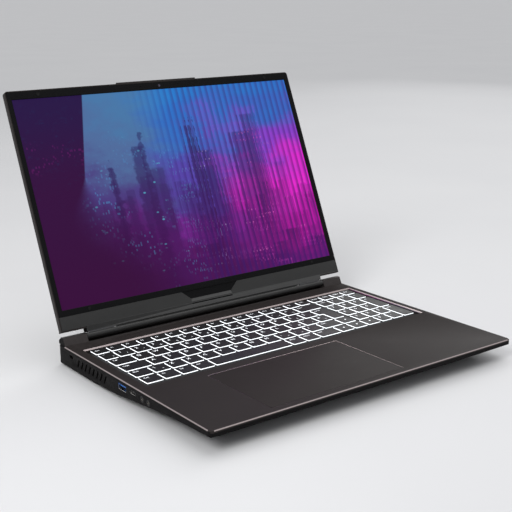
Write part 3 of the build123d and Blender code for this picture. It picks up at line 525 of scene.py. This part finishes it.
def lit_material(name, rgb, strength, unevenness=0.12):
    """Translucent plastic lit from below, a little uneven."""
    material, tree, shader = bare_material(name)
    marks = use_group(tree, "handling_marks", size=9.0, amount=1.0)
    dimmer = tuple(c * (1 - unevenness) for c in rgb) + (1.0,)
    glow = mixed(tree, spread(tree, marks.outputs["Tone"], 0.35, 0.65), dimmer, (*rgb, 1.0))
    grains = use_group(tree, "fine_grain", size=0.1, unevenness=0.4)
    bumped(tree, shader, grains.outputs["Height"], 0.1, 0.05 * MM)
    tree.links.new(glow, shader.inputs["Emission Color"])
    tree.links.new(glow, shader.inputs["Base Color"])
    shader.inputs["Emission Strength"].default_value = strength
    shader.inputs["Roughness"].default_value = 0.45
    shader.inputs["Specular IOR Level"].default_value = 0.2
    return material


def screen_material():
    """The matte front of the display, with its picture."""
    material, tree, shader = bare_material("display_picture")
    sizes = settings().laptop_screen
    picture = use_group(tree, "screen_picture", ribs=sizes.width / sizes.rib)
    grains = use_group(tree, "fine_grain", size=0.12, unevenness=0.2)
    marks = use_group(tree, "handling_marks", size=60.0, amount=0.5)
    tree.links.new(picture.outputs["Colour"], shader.inputs["Emission Color"])
    bumped(tree, shader, grains.outputs["Height"], 0.05, 0.05 * MM)
    rough = spread(tree, marks.outputs["Smudge"], 0.0, 0.5, 0.42, 0.36, smooth=False)
    tree.links.new(rough, shader.inputs["Roughness"])
    shader.inputs["Base Color"].default_value = (0.003, 0.003, 0.0035, 1.0)
    shader.inputs["Specular IOR Level"].default_value = 0.05
    shader.inputs["Emission Strength"].default_value = sizes.glow
    return material


def board_material(name, mask_rgb):
    """Solder mask over copper tracks, with tinned pads."""
    material, tree, shader = bare_material(name)
    tracks = use_group(tree, "board_tracks", size=4.0)
    marks = use_group(tree, "handling_marks", size=20.0, amount=0.5)
    light = tuple(c * 1.9 for c in mask_rgb) + (1.0,)
    base = mixed(tree, tracks.outputs["Track"], (*mask_rgb, 1.0), light)
    base = mixed(tree, tracks.outputs["Pad"], base, (0.55, 0.5, 0.36, 1.0))
    rough = spread(tree, marks.outputs["Tone"], 0.3, 0.7, 0.3, 0.45, smooth=False)
    bumped(tree, shader, tracks.outputs["Track"], 0.3, 0.04 * MM)
    tree.links.new(base, shader.inputs["Base Color"])
    tree.links.new(rough, shader.inputs["Roughness"])
    tree.links.new(tracks.outputs["Pad"], shader.inputs["Metallic"])
    return material


def lens_material():
    """Coated camera glass over a dark barrel."""
    material, tree, shader = bare_material("camera_glass")
    marks = use_group(tree, "handling_marks", size=1.2, amount=0.5)
    tone = mixed(tree, marks.outputs["Tone"], (0.01, 0.012, 0.03, 1.0), (0.03, 0.012, 0.045, 1.0))
    tree.links.new(tone, shader.inputs["Base Color"])
    shader.inputs["Roughness"].default_value = 0.06
    shader.inputs["Coat Weight"].default_value = 1.0
    shader.inputs["Coat Roughness"].default_value = 0.03
    return material


def make_materials():
    """Every finish of the laptop, by name."""
    rgb = settings().laptop_colours
    hinge_tone = [1.7 * c for c in rgb.deck]
    # The chin's ramp is painted 2.4 times lighter than the chin: a painted highlight for the light it
    # catches from above.
    ramp_highlight_tone = [2.4 * c for c in rgb.chin]
    metal = dict(grain=0.14, bump=0.2, tone=0.06, smudge=0.2, wear=0.3, dust=0.05)
    plastic = dict(grain=0.3, bump=0.3, wear=0.0, dust=0.05)
    moulded = dict(plastic, grain=0.35, bump=0.45, tone=0.2, wear=0.3)
    steel = dict(metallic=1.0, dust=0.0)
    inside = dict(grain=0.15, bump=0.2, dust=0.0, shine=0.3)
    keys = dict(plastic, grain=0.18, tone=0.2, smudge=0.5, dust=0.1)
    pad = dict(grain=0.1, bump=0.1, tone=0.05, smudge=0.15, dust=0.05)
    finishes = {  # colour, roughness and the rest
        "deck_metal": (rgb.deck, 0.48, dict(metal, metallic=0.1, smudge=0.12, wear=0.25, shine=0.02)),
        "cut_edge": (rgb.cut_edge, 0.26, dict(steel, grain=0.1, bump=0.06, tone=0.08, brushed=0.1)),
        "hinge_metal": (hinge_tone, 0.42, dict(metal, metallic=0.6)),
        "lid_metal": (rgb.deck, 0.46, dict(metal, metallic=0.2, shine=0.1)),
        "touchpad_surface": (rgb.deck, 0.44, dict(pad, metallic=0.06, shine=0.012)),
        "casing_plastic": (rgb.casing, 0.5, dict(moulded, shine=0.04)),
        "bezel_plastic": (rgb.bezel, 0.5, dict(plastic, bump=0.35, shine=0.05)),
        "chin_plastic": (rgb.chin, 0.42, dict(moulded, grain=0.2, bump=0.25, tone=0.12, shine=0.4)),
        "chin_ramp_painted_highlight": (ramp_highlight_tone, 0.4, dict(grain=0.2, bump=0.2, dust=0.0, shine=0.6)),
        "keycap": (rgb.keycap, 0.5, dict(keys, shine=0.25)),
        "keyboard_plate": ((0.005, 0.005, 0.0055), 0.55, dict(plastic, dust=0.25, shine=0.12)),
        "rubber": ((0.009,) * 3, 0.72, dict(grain=0.5, bump=0.6, tone=0.25, dust=0.2, shine=0.12)),
        "dark_steel": ((0.16, 0.16, 0.165), 0.34, dict(steel, brushed=0.25)),
        "socket_metal": ((0.50, 0.49, 0.47), 0.26, dict(steel, brushed=0.2)),
        "gold_contact": ((0.83, 0.60, 0.26), 0.2, dict(steel, brushed=0.1)),
        "socket_plastic": ((0.010, 0.010, 0.011), 0.42, inside),
        "port_tongue": (rgb.tongue, 0.38, inside),
        "copper": ((0.70, 0.30, 0.15), 0.28, dict(steel, brushed=0.3, tone=0.2)),
        "fin_metal": ((0.55, 0.55, 0.56), 0.32, dict(metallic=1.0, brushed=0.2, dust=0.1)),
        "battery_wrap": ((0.012, 0.012, 0.014), 0.33, dict(grain=0.6, bump=0.2, coat=0.3)),
        "fan_plastic": ((0.013, 0.013, 0.014), 0.5, dict(grain=0.25, bump=0.25, dust=0.3, shine=0.3)),
    }
    made = {}
    for name, (tone, rough, rest) in finishes.items():
        made[name] = surface(name, tone, rough, **rest)
    made["key_light"] = lit_material("key_light", rgb.key_light, 1.15)
    made["legend_light"] = lit_material("legend_light", rgb.key_light, 0.8)
    made["circuit_board"] = board_material("circuit_board", (0.006, 0.035, 0.022))
    made["camera_glass"] = lens_material()
    made["screen"] = screen_material()
    return made


MATERIALS = {}


def finish(piece, *names):
    """Gives a piece its materials in place of any it has. An unfinished mesh keeps its faces' slots."""
    if len(piece.data.materials):
        piece.data.materials.clear()
    for name in names:
        piece.data.materials.append(MATERIALS[name])
    return piece


# ---- Mesh helpers ------------------------------------------------------------------------


def span_of(node):
    """The lowest and highest corner of a node's box."""
    points = [v.co for v in frame["nodes"][node].data.vertices]
    low = Vector(min(p[i] for p in points) for i in range(3))
    return low, Vector(max(p[i] for p in points) for i in range(3))


def deck_half():
    return span_of("deck_cover")[1].x


def outside(face, half):
    """Whether a face lies in one of the base's two side walls."""
    return abs(face.normal.x) > 0.7 and abs(face.calc_center_median().x) > half - 1 * MM


def body_of(node):
    return frame["nodes"][node]["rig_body"]


def new_piece(name, mesh_edit, materials, body, sharp=20.0):
    """A mesh object from a bmesh, riding on a body, with smooth shading up to an angle."""
    mesh = bpy.data.meshes.new(name)
    bmesh.ops.recalc_face_normals(mesh_edit, faces=mesh_edit.faces)
    mesh_edit.to_mesh(mesh)
    mesh_edit.free()
    piece = bpy.data.objects.new(name, mesh)
    bpy.context.scene.collection.objects.link(piece)
    mesh.shade_smooth()
    mesh.set_sharp_from_angle(angle=math.radians(sharp))
    finish(piece, *materials)
    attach(piece, body)
    return piece


def solid_of(node):
    """The node's mesh as a bmesh with its split corners joined and its flat faces whole."""
    mesh_edit = bmesh.new()
    mesh_edit.from_mesh(frame["nodes"][node].data)
    bmesh.ops.remove_doubles(mesh_edit, verts=mesh_edit.verts, dist=1e-6)
    bmesh.ops.dissolve_limit(
        mesh_edit, angle_limit=math.radians(0.5), verts=mesh_edit.verts, edges=mesh_edit.edges
    )
    return mesh_edit


def soften(mesh_edit, width, segments=2, least=28.0, keep=None, accent=-1):
    """Rounds every edge that turns by more than the least angle, in degrees, and that keep takes.
    The new faces get the accent material, if there is one."""
    limit = math.radians(least)
    edges = [e for e in mesh_edit.edges if len(e.link_faces) == 2 and e.calc_face_angle() > limit]
    edges = [e for e in edges if keep is None or keep(e)]
    bmesh.ops.bevel(
        mesh_edit,
        geom=edges,
        offset=width,
        segments=segments,
        profile=0.6,
        affect="EDGES",
        clamp_overlap=True,
        material=accent,
    )


def refined(node, width, material, name=None, segments=2):
    """The node's own shape with rounded edges, standing for the node."""
    mesh_edit = solid_of(node)
    soften(mesh_edit, width, segments)
    piece = new_piece(name or node + "_finished", mesh_edit, [material], body_of(node))
    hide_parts(node)
    return piece


def box_into(mesh_edit, low, high, width=0.0, segments=2):
    """A box between two corners, with rounded edges if width is given."""
    size = [h - l for l, h in zip(low, high)]
    middle = [(h + l) / 2 for l, h in zip(low, high)]
    move = Matrix.Translation(middle) @ Matrix.Diagonal((*size, 1.0))
    made = bmesh.ops.create_cube(mesh_edit, size=1.0, matrix=move)
    if width:
        edges = {e for v in made["verts"] for e in v.link_edges}
        bmesh.ops.bevel(
            mesh_edit, geom=list(edges), offset=width, segments=segments, profile=0.6, affect="EDGES"
        )


# ---- Keyboard ----------------------------------------------------------------------------

LEGENDS = {
    "key_escape": ["Esc"],
    "keys_function": [f"F{i}" for i in range(1, 13)] + ["PrtSc", "Ins", "Del"],
    "keys_media": ["Home", "PgUp", "PgDn", "End"],
    "keys_digits": list("`1234567890-="),
    "key_backspace": ["Back"],
    "key_tab": ["Tab"],
    "keys_upper_letters": list("QWERTYUIOP[]"),
    "key_enter": ["Enter"],
    "key_caps_lock": ["Caps"],
    "keys_home_letters": list("ASDFGHJKL;'#"),
    "key_shift_left": ["Shift"],
    "keys_lower_letters": list("\\ZXCVBNM,./"),
    "key_shift_right": ["Shift"],
    "keys_modifier": ["Ctrl", "Fn", "Sys", "Alt", "AltGr", "Menu", "Ctrl"],
    "key_space": [""],
    "keys_arrow": ["up", "left", "down", "right"],
    "keys_number_pad": ["Num", *"/*-789+456123", "Ent", "0", "."],
}
ARROW_TURNS = {"up": 0, "left": 90, "down": 180, "right": 270}
SECOND_LEGENDS = dict(zip("`1234567890-=[];'#\\,./", "~!\"$%^&*()_+{}:@~|<>?"))


def key_feet(node):
    """The outline of each key's foot, rear row first and from left to right, with its heights."""
    mesh_edit = bmesh.new()
    mesh_edit.from_mesh(frame["nodes"][node].data)
    bmesh.ops.remove_doubles(mesh_edit, verts=mesh_edit.verts, dist=1e-6)
    left = set(mesh_edit.verts)
    keys = []
    while left:
        island, border = set(), [left.pop()]
        while border:
            vert = border.pop()
            island.add(vert)
            near = {e.other_vert(vert) for e in vert.link_edges} & left
            left -= near
            border += near
        low = min(v.co.z for v in island)
        high = max(v.co.z for v in island)
        foot = [v.co.xy for v in island if v.co.z < low + 0.01 * MM]
        keys.append((foot_outline(foot), low, high))
    mesh_edit.free()
    keys.sort(key=lambda key: (-round(max(p.y for p in key[0]) / MM), min(p.x for p in key[0])))
    return keys


def foot_outline(points):
    """The corners of a foot, anticlockwise: a rectangle, or the L of the Enter key."""
    xs = sorted({round(p.x, 5) for p in points})
    ys = sorted({round(p.y, 5) for p in points})
    if len(xs) < 3:
        corners = [(xs[0], ys[0]), (xs[-1], ys[0]), (xs[-1], ys[-1]), (xs[0], ys[-1])]
    else:
        corners = [
            (xs[1], ys[0]), (xs[2], ys[0]), (xs[2], ys[2]), (xs[0], ys[2]), (xs[0], ys[1]), (xs[1], ys[1])
        ]
    return [Vector(c) for c in corners]


def ring_points(outline, inset, radius, steps=4):
    """The outline moved inwards, with round corners of the same number of points each."""
    count = len(outline)
    points = []
    for i, corner in enumerate(outline):
        before = (corner - outline[i - 1]).normalized()
        after = (outline[(i + 1) % count] - corner).normalized()
        inner = corner + (before.orthogonal() + after.orthogonal()) * inset
        turn = before.x * after.y - before.y * after.x
        centre = inner + (before.orthogonal() + after.orthogonal()) * radius * (1 if turn > 0 else -1)
        for k in range(steps + 1):
            share = k / steps * math.pi / 2
            out = before.orthogonal() * math.cos(share) + after.orthogonal() * math.sin(share)
            points.append(centre - out * radius * (1 if turn > 0 else -1))
    return points


def stack_into(mesh_edit, outline, levels):
    """A closed form through rings of the outline, each given as (inset, height, radius)."""
    rings = []
    for inset, z, radius in levels:
        ring = [mesh_edit.verts.new((p.x, p.y, z)) for p in ring_points(outline, inset, radius)]
        rings.append(ring)
    for low, high in zip(rings, rings[1:]):
        for i in range(len(low)):
            j = (i + 1) % len(low)
            mesh_edit.faces.new((low[i], low[j], high[j], high[i]))
    mesh_edit.faces.new(list(reversed(rings[0])))
    mesh_edit.faces.new(rings[-1])


def legend_into(mesh_edit, word, size, left, top, z):
    """A word as thin raised type, with its upper left corner at a point."""
    curve = bpy.data.curves.new("type", "FONT")
    curve.body = word
    curve.size = size
    curve.extrude = 0.008 * MM
    curve.resolution_u = 2
    curve.align_y = "TOP"
    holder = bpy.data.objects.new("type", curve)
    bpy.context.scene.collection.objects.link(holder)
    bpy.context.view_layer.update()
    mesh = bpy.data.meshes.new_from_object(holder.evaluated_get(bpy.context.evaluated_depsgraph_get()))
    mesh.transform(Matrix.Translation((left, top, z)))
    mesh_edit.from_mesh(mesh)
    bpy.data.objects.remove(holder)
    bpy.data.curves.remove(curve)
    bpy.data.meshes.remove(mesh)


def arrow_into(mesh_edit, middle, z, turn):
    """A small raised triangle that points the given way."""
    side = 1.5 * MM
    spin = Matrix.Rotation(math.radians(turn), 4, "Z")
    corners = ((0, side), (-side * 0.8, -side * 0.6), (side * 0.8, -side * 0.6))
    points = [Vector((*corner, 0)) for corner in corners]
    rings = []
    for height in (0.0, 0.016 * MM):
        base = Vector((middle.x, middle.y, z + height))
        rings.append([mesh_edit.verts.new(base + spin @ p) for p in points])
    low, high = rings
    mesh_edit.faces.new(high)
    mesh_edit.faces.new(list(reversed(low)))
    for i in range(3):
        j = (i + 1) % 3
        mesh_edit.faces.new((low[i], low[j], high[j], high[i]))


def build_keys(node):
    """Caps, lit skirts and legends for the keys of one node."""
    sizes = settings().laptop_keys
    caps, skirts, legends = bmesh.new(), bmesh.new(), bmesh.new()
    for word, (outline, low, high) in zip(LEGENDS[node], key_feet(node)):
        seam = low + sizes.skirt
        r = sizes.corner
        stack_into(
            skirts,
            outline,
            [
                (0.3 * MM, low, r),
                (0.05 * MM, low + 0.12 * MM, r),
                (0.0, low + 0.25 * MM, r),
                (0.22 * MM, seam, r),
            ],
        )
        stack_into(
            caps,
            outline,
            [
                (0.24 * MM, seam + 0.005 * MM, r),
                (0.30 * MM, high - 0.16 * MM, r),
                (0.36 * MM, high - 0.05 * MM, r),
                (0.50 * MM, high, r * 0.9),
                (1.10 * MM, high - 0.25 * sizes.dish, r * 0.8),
                (2.00 * MM, high - 0.85 * sizes.dish, r * 0.6),
                (2.80 * MM, high - sizes.dish, r * 0.4),
            ],
        )
        top_z = high - sizes.dish + 0.012 * MM
        left = min(p.x for p in outline)
        rear = max(p.y for p in outline)
        front = min(p.y for p in outline)
        if word in ARROW_TURNS:
            middle = sum(outline, Vector((0, 0))) / len(outline)
            arrow_into(legends, middle, top_z, ARROW_TURNS[word])
        elif len(word) == 1:
            size = sizes.letter
            legend_into(legends, word, size, left + 3.3 * MM, rear - 3.1 * MM, top_z)
            if word in SECOND_LEGENDS and node != "keys_number_pad":
                second = SECOND_LEGENDS[word]
                legend_into(legends, second, 0.62 * size, left + 9.6 * MM, front + 6.4 * MM, top_z)
        elif word:
            legend_into(legends, word, sizes.word, left + 3.0 * MM, rear - 3.3 * MM, top_z)
    body = body_of(node)
    piece = new_piece(node + "_caps", caps, ["keycap"], body)
    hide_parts(node)
    new_piece(node + "_skirts", skirts, ["key_light"], body)
    if legends.verts:
        new_piece(node + "_legends", legends, ["legend_light"], body)
    else:
        legends.free()


# ---- Operators ---------------------------------------------------------------------------


class LAPTOP_OT_finishes(bpy.types.Operator):
    """Make every shader group and material"""

    bl_idname = "laptop.finishes"
    bl_label = "Finishes"

    def execute(self, context):
        for make in (
            group_grain,
            group_handling,
            group_wear,
            group_dust,
            group_brushed,
            group_tracks,
            group_picture,
        ):
            make()
        MATERIALS.update(make_materials())
        return {"FINISHED"}


class LAPTOP_OT_casing(bpy.types.Operator):
    """Finish the deck, its bright cut edges, the bottom casing, the hinge caps, feet and screws"""

    bl_idname = "laptop.casing"
    bl_label = "Base Casing"

    def execute(self, context):
        deck = solid_of("deck_cover")
        top = max(v.co.z for v in deck.verts)
        cap_low, _ = span_of("hinge_cap_left")
        pad_low, pad_high = span_of("touchpad")
        bmesh.ops.bisect_plane(
            deck, geom=deck.verts[:] + deck.edges[:] + deck.faces[:], plane_co=cap_low, plane_no=(0, 1, 0)
        )

        def round_pad(edge):
            return all(
                abs(v.co.z - top) < 1e-5
                and pad_low.x - 0.001 < v.co.x < pad_high.x + 0.001
                and pad_low.y - 0.001 < v.co.y < pad_high.y + 0.001
                for v in edge.verts
            )

        soften(deck, 0.22 * MM, 2, keep=round_pad, accent=1)
        deck.normal_update()
        for face in deck.faces:
            middle = face.calc_center_median()
            slanted = 0.55 < face.normal.z < 0.85 and top - 1.3 * MM < middle.z < top - 0.3 * MM
            if slanted and face.calc_area() > 2e-6:
                face.material_index = 1 if middle.y < cap_low.y else 2
            elif abs(face.normal.z) < 0.5 and middle.z < top - 0.7 * MM and outside(face, deck_half()):
                face.material_index = 2
        materials = ["deck_metal", "cut_edge", "casing_plastic"]
        piece = new_piece("deck_finished", deck, materials, body_of("deck_cover"))
        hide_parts("deck_cover")

        refined("bottom_cover", 0.15 * MM, "casing_plastic")
        refined("rear_grilles", 0.1 * MM, "casing_plastic")
        refined("rubber_feet", 0.3 * MM, "rubber")
        refined("bottom_screws", 0.06 * MM, "dark_steel")
        for side in ("left", "right"):
            cap = refined("hinge_cap_" + side, 0.3 * MM, "hinge_metal", segments=2)
            cap.data.materials.append(MATERIALS["casing_plastic"])
            for face in cap.data.polygons:
                if abs(face.normal.x) > 0.7 and abs(face.center.x) > deck_half() - 3 * MM:
                    face.material_index = 1
            finish(frame["nodes"]["hinge_mount_" + side], "dark_steel")
        return {"FINISHED"}


class LAPTOP_OT_keyboard(bpy.types.Operator):
    """Build the keycaps, lit skirts and legends, and finish the plate under them"""

    bl_idname = "laptop.keyboard"
    bl_label = "Keyboard"

    def execute(self, context):
        finish(frame["nodes"]["keyboard_plate"], "keyboard_plate")
        for node in LEGENDS:
            build_keys(node)
        refined("power_button", 0.12 * MM, "deck_metal")
        return {"FINISHED"}


class LAPTOP_OT_touchpad(bpy.types.Operator):
    """Finish the touchpad with its rounded rim"""

    bl_idname = "laptop.touchpad"
    bl_label = "Touchpad"

    def execute(self, context):
        refined("touchpad", 0.2 * MM, "touchpad_surface", segments=3)
        return {"FINISHED"}


def inside_box(centre, low, high):
    return all(l < c < h for l, c, h in zip(low, centre, high))


def islands_of(mesh):
    """The separate solids of a mesh: for each, its face numbers and the corners of its box."""
    mesh_edit = bmesh.new()
    mesh_edit.from_mesh(mesh)
    left = set(mesh_edit.faces)
    islands = []
    while left:
        border = [left.pop()]
        island = list(border)
        while border:
            face = border.pop()
            near = {f for e in face.edges for f in e.link_faces} & left
            left -= near
            border += near
            island += near
        points = [v.co for f in island for v in f.verts]
        low = Vector(min(p[i] for p in points) for i in range(3))
        high = Vector(max(p[i] for p in points) for i in range(3))
        islands.append(([f.index for f in island], low, high))
    mesh_edit.free()
    return islands


def tint(piece, numbers, low, high, slot):
    """Gives a material slot to the numbered faces whose middles lie inside a box."""
    for number in numbers:
        face = piece.data.polygons[number]
        if inside_box(face.center, low, high):
            face.material_index = slot


class LAPTOP_OT_sockets(bpy.types.Operator):
    """Finish the sockets and add their contacts"""

    bl_idname = "laptop.sockets"
    bl_label = "Sockets"

    def execute(self, context):
        usb = refined("usb_a_sockets", 0.05 * MM, "socket_metal")
        usb.data.materials.append(MATERIALS["port_tongue"])
        contacts = bmesh.new()
        for numbers, low, high in islands_of(usb.data):
            tongue_low = Vector((low.x - 1, low.y + 1.1 * MM, high.z - 2.7 * MM))
            tongue_high = Vector((high.x + 1, high.y - 1.1 * MM, high.z - 0.8 * MM))
            tint(usb, numbers, tongue_low, tongue_high, 1)
            side = 1 if low.x > 0 else -1
            mouth = high.x if side > 0 else low.x
            for i in range(4):
                y = (low.y + high.y) / 2 + (i - 1.5) * 2.1 * MM
                ends = sorted((mouth - side * 2.2 * MM, mouth - side * 8.0 * MM))
                box_into(
                    contacts,
                    (ends[0], y - 0.5 * MM, high.z - 2.68 * MM),
                    (ends[1], y + 0.5 * MM, high.z - 2.58 * MM),
                )
        new_piece("usb_contacts", contacts, ["gold_contact"], body_of("usb_a_sockets"))

        small = refined("usb_c_sockets", 0.04 * MM, "socket_metal")
        small.data.materials.append(MATERIALS["socket_plastic"])
        for numbers, low, high in islands_of(small.data):
            centre = (low + high) / 2
            tongue_low = Vector((low.x - 1, low.y - 1, centre.z - 0.5 * MM))
            tongue_high = Vector((high.x + 1, high.y + 1, centre.z + 0.5 * MM))
            tint(small, numbers, tongue_low, tongue_high, 1)
            wide = 1 if high.x - low.x > high.y - low.y else 0
            for number in numbers:
                face = small.data.polygons[number]
                aside = abs(face.center[wide] - centre[wide])
                if abs(face.normal.z) < 0.5 and face.material_index == 1 and aside > 3.4 * MM:
                    face.material_index = 0

        video = refined("hdmi_socket", 0.06 * MM, "socket_metal")
        video.data.materials.append(MATERIALS["socket_plastic"])
        for numbers, low, high in islands_of(video.data):
            tint(video, numbers, low + Vector((1.4, -9, 2.4)) * MM, high - Vector((1.4, -9, 1.9)) * MM, 1)

        inlet = refined("dc_inlet", 0.12 * MM, "socket_plastic")
        inlet.data.materials.append(MATERIALS["socket_metal"])
        low, high = span_of("dc_inlet")
        middle = (low + high) / 2
        pin = Vector((0.9, 9, 0.9)) * MM
        tint(inlet, range(len(inlet.data.polygons)), middle - pin, middle + pin, 1)

        jacks = refined("audio_jacks", 0.12 * MM, "socket_plastic")
        jacks.data.materials.append(MATERIALS["socket_metal"])
        for numbers, low, high in islands_of(jacks.data):
            middle = (low + high) / 2
            for number in numbers:
                face = jacks.data.polygons[number]
                off = math.hypot(face.center.y - middle.y, face.center.z - middle.z)
                if off < 1.9 * MM and abs(face.normal.x) < 0.5 and face.center.x > low.x + 1.2 * MM:
                    face.material_index = 1
        return {"FINISHED"}


class LAPTOP_OT_lid(bpy.types.Operator):
    """Finish the lid's back, bezel, chin, hinge barrel and bumpers"""

    bl_idname = "laptop.lid"
    bl_label = "Lid"

    def execute(self, context):
        refined("lid_back_cover", 0.15 * MM, "lid_metal")
        refined("lid_bezel", 0.1 * MM, "bezel_plastic")
        chin = refined("lid_chin", 0.1 * MM, "chin_plastic")
        for name in ("bezel_plastic", "chin_ramp_painted_highlight", "keyboard_plate"):
            chin.data.materials.append(MATERIALS[name])
        up, facing = along_lid()
        axis = Vector(HINGE["pos_m"])
        front = max((v.co - axis).dot(facing) for v in chin.data.vertices)
        for face in chin.data.polygons:
            turned = face.normal.dot(facing)
            depth = front - (face.center - axis).dot(facing)
            height = (face.center - axis).dot(up)
            # Slot 1 is the recess floor in bezel plastic; slot 2, the ramp below it, gets the lighter
            # ramp plastic as a painted highlight.
            if turned > 0.97 and 0.1 * MM < depth < 0.75 * MM and abs(face.center.x) < 40 * MM:
                face.material_index = 1 if turned > 0.995 else 2
            # The slot under the ramp gets the black plate plastic: painted shade for its depth.
            elif abs(face.center.x) < 26.5 * MM and 7.9 * MM < height < 9.3 * MM and depth > 0.1 * MM:
                face.material_index = 3
        refined("hinge_barrel", 0.12 * MM, "chin_plastic")
        refined("lid_bumpers", 0.12 * MM, "rubber")
        for side in ("left", "right"):
            finish(frame["nodes"]["hinge_arm_" + side], "dark_steel")
        return {"FINISHED"}


class LAPTOP_OT_display(bpy.types.Operator):
    """Finish the display with its picture, and the camera above it"""

    bl_idname = "laptop.display"
    bl_label = "Display"

    def execute(self, context):
        finish(frame["nodes"]["screen_glass"], "screen")
        finish(frame["nodes"]["lcd_panel"], "fin_metal")
        finish(frame["nodes"]["webcam_lens"], "camera_glass")
        finish(frame["nodes"]["webcam_board"], "circuit_board")
        finish(frame["nodes"]["display_cable"], "socket_plastic")
        finish(frame["nodes"]["wifi_antennas"], "copper")
        return {"FINISHED"}


class LAPTOP_OT_insides(bpy.types.Operator):
    """Finish the boards, cooling, fans, battery and speakers inside the base"""

    bl_idname = "laptop.insides"
    bl_label = "Insides"

    def execute(self, context):
        inside = {
            "circuit_board": ("mainboard", "memory_modules", "ssd_module", "wireless_card"),
            "copper": ("cold_plate", "heat_pipes"),
            "fin_metal": ("fin_stacks",),
            "battery_wrap": ("battery_pack",),
            "socket_plastic": ("speakers",),
            "fan_plastic": (
                "fan_housing_left",
                "fan_housing_right",
                "fan_impeller_left",
                "fan_impeller_right",
            ),
        }
        for material, nodes in inside.items():
            for node in nodes:
                finish(frame["nodes"][node], material)
        return {"FINISHED"}


LIGHTS = (  # name, kind, place from the laptop's middle, size and power
    ("top_light", "SUN", (0.35, 0.25, 1.0), math.radians(60), 1.0),
    ("rear_softbox", "AREA", (2.5, 1.1, 1.2), 2.2, 9.0),
    ("front_softbox", "AREA", (-1.1, -0.5, 0.9), 0.7, 3.0),
)
AIM = Vector((-0.0656, -0.0892, 0.1262))  # what the camera looks at, from the middle of the footprint


class LAPTOP_OT_stage(bpy.types.Operator):
    """Set up the pale floor, the soft lights and the camera"""

    bl_idname = "laptop.stage"
    bl_label = "Stage"

    def execute(self, context):
        scene = context.scene
        material, tree, shader = bare_material("pale_floor")
        tone = noise(tree, place_of(tree), 3.0, 3.0, 0.5)
        pale = mixed(tree, tone, (0.62, 0.62, 0.63, 1.0), (0.66, 0.66, 0.665, 1.0))
        tree.links.new(pale, shader.inputs["Base Color"])
        shader.inputs["Roughness"].default_value = 0.95
        shader.inputs["Specular IOR Level"].default_value = 0.05
        mesh_edit = bmesh.new()
        bmesh.ops.create_grid(mesh_edit, x_segments=2, y_segments=2, size=60.0)
        mesh = bpy.data.meshes.new("floor")
        mesh_edit.to_mesh(mesh)
        mesh_edit.free()
        floor = bpy.data.objects.new("floor", mesh)
        floor.location.z = cad_low.z - 0.0002
        mesh.materials.append(material)
        scene.collection.objects.link(floor)

        world = bpy.data.worlds.new("studio")
        world.use_nodes = True
        back = world.node_tree.nodes["Background"]
        back.inputs["Color"].default_value = (0.83, 0.84, 0.86, 1.0)
        back.inputs["Strength"].default_value = 0.62
        scene.world = world
        middle = (cad_low + cad_high) / 2
        for name, kind, place, size, power in LIGHTS:
            place = Vector(place)
            light = bpy.data.lights.new(name, kind)
            light.energy = power
            if kind == "SUN":
                light.angle = size
            else:
                light.size = size
                light.spread = math.radians(80)
            lamp = bpy.data.objects.new(name, light)
            lamp.location = middle + place
            lamp.visible_camera = False
            lamp.rotation_mode = "QUATERNION"
            lamp.rotation_quaternion = (-place).to_track_quat("-Z", "Y")
            scene.collection.objects.link(lamp)

        stage = settings().laptop_stage
        target = Vector((0.0, middle.y, cad_low.z)) + AIM
        away = Vector((
            math.sin(stage.azimuth) * math.cos(stage.elevation),
            -math.cos(stage.azimuth) * math.cos(stage.elevation),
            math.sin(stage.elevation),
        ))
        camera = bpy.data.cameras.new("camera")
        camera.lens = stage.lens
        camera.sensor_width = 36.0
        camera.clip_start = 0.01
        holder = bpy.data.objects.new("camera", camera)
        holder.location = target + away * stage.distance
        turn = (-away).to_track_quat("-Z", "Y").to_matrix().to_4x4()
        holder.rotation_euler = (turn @ Matrix.Rotation(stage.roll, 4, "Z")).to_euler()
        scene.collection.objects.link(holder)
        scene.camera = holder
        scene.view_settings.view_transform = "Standard"
        return {"FINISHED"}


STEPS = ("finishes", "casing", "keyboard", "touchpad", "sockets", "lid", "display", "insides", "stage")


class LAPTOP_PT_panel(bpy.types.Panel):
    """The laptop's settings and the steps that build it"""

    bl_idname = "LAPTOP_PT_panel"
    bl_label = "Laptop"
    bl_space_type = "VIEW_3D"
    bl_region_type = "UI"
    bl_category = "Laptop"

    def draw(self, context):
        layout = self.layout
        for group in SETTINGS:
            held = getattr(context.scene, group)
            box = layout.box()
            for name in held.bl_rna.properties.keys():
                if name not in ("rna_type", "name"):
                    box.prop(held, name)
        for step in STEPS:
            layout.operator("laptop." + step)


CLASSES = (
    *SETTINGS.values(),
    LAPTOP_OT_finishes,
    LAPTOP_OT_casing,
    LAPTOP_OT_keyboard,
    LAPTOP_OT_touchpad,
    LAPTOP_OT_sockets,
    LAPTOP_OT_lid,
    LAPTOP_OT_display,
    LAPTOP_OT_insides,
    LAPTOP_OT_stage,
    LAPTOP_PT_panel,
)


def register():
    for made in CLASSES:
        bpy.utils.register_class(made)
    for name, group in SETTINGS.items():
        setattr(bpy.types.Scene, name, PointerProperty(type=group))


def unregister():
    for name in SETTINGS:
        delattr(bpy.types.Scene, name)
    for made in reversed(CLASSES):
        bpy.utils.unregister_class(made)


def main():
    register()
    for step in STEPS:
        getattr(bpy.ops.laptop, step)()


if __name__ == "__main__":
    main()
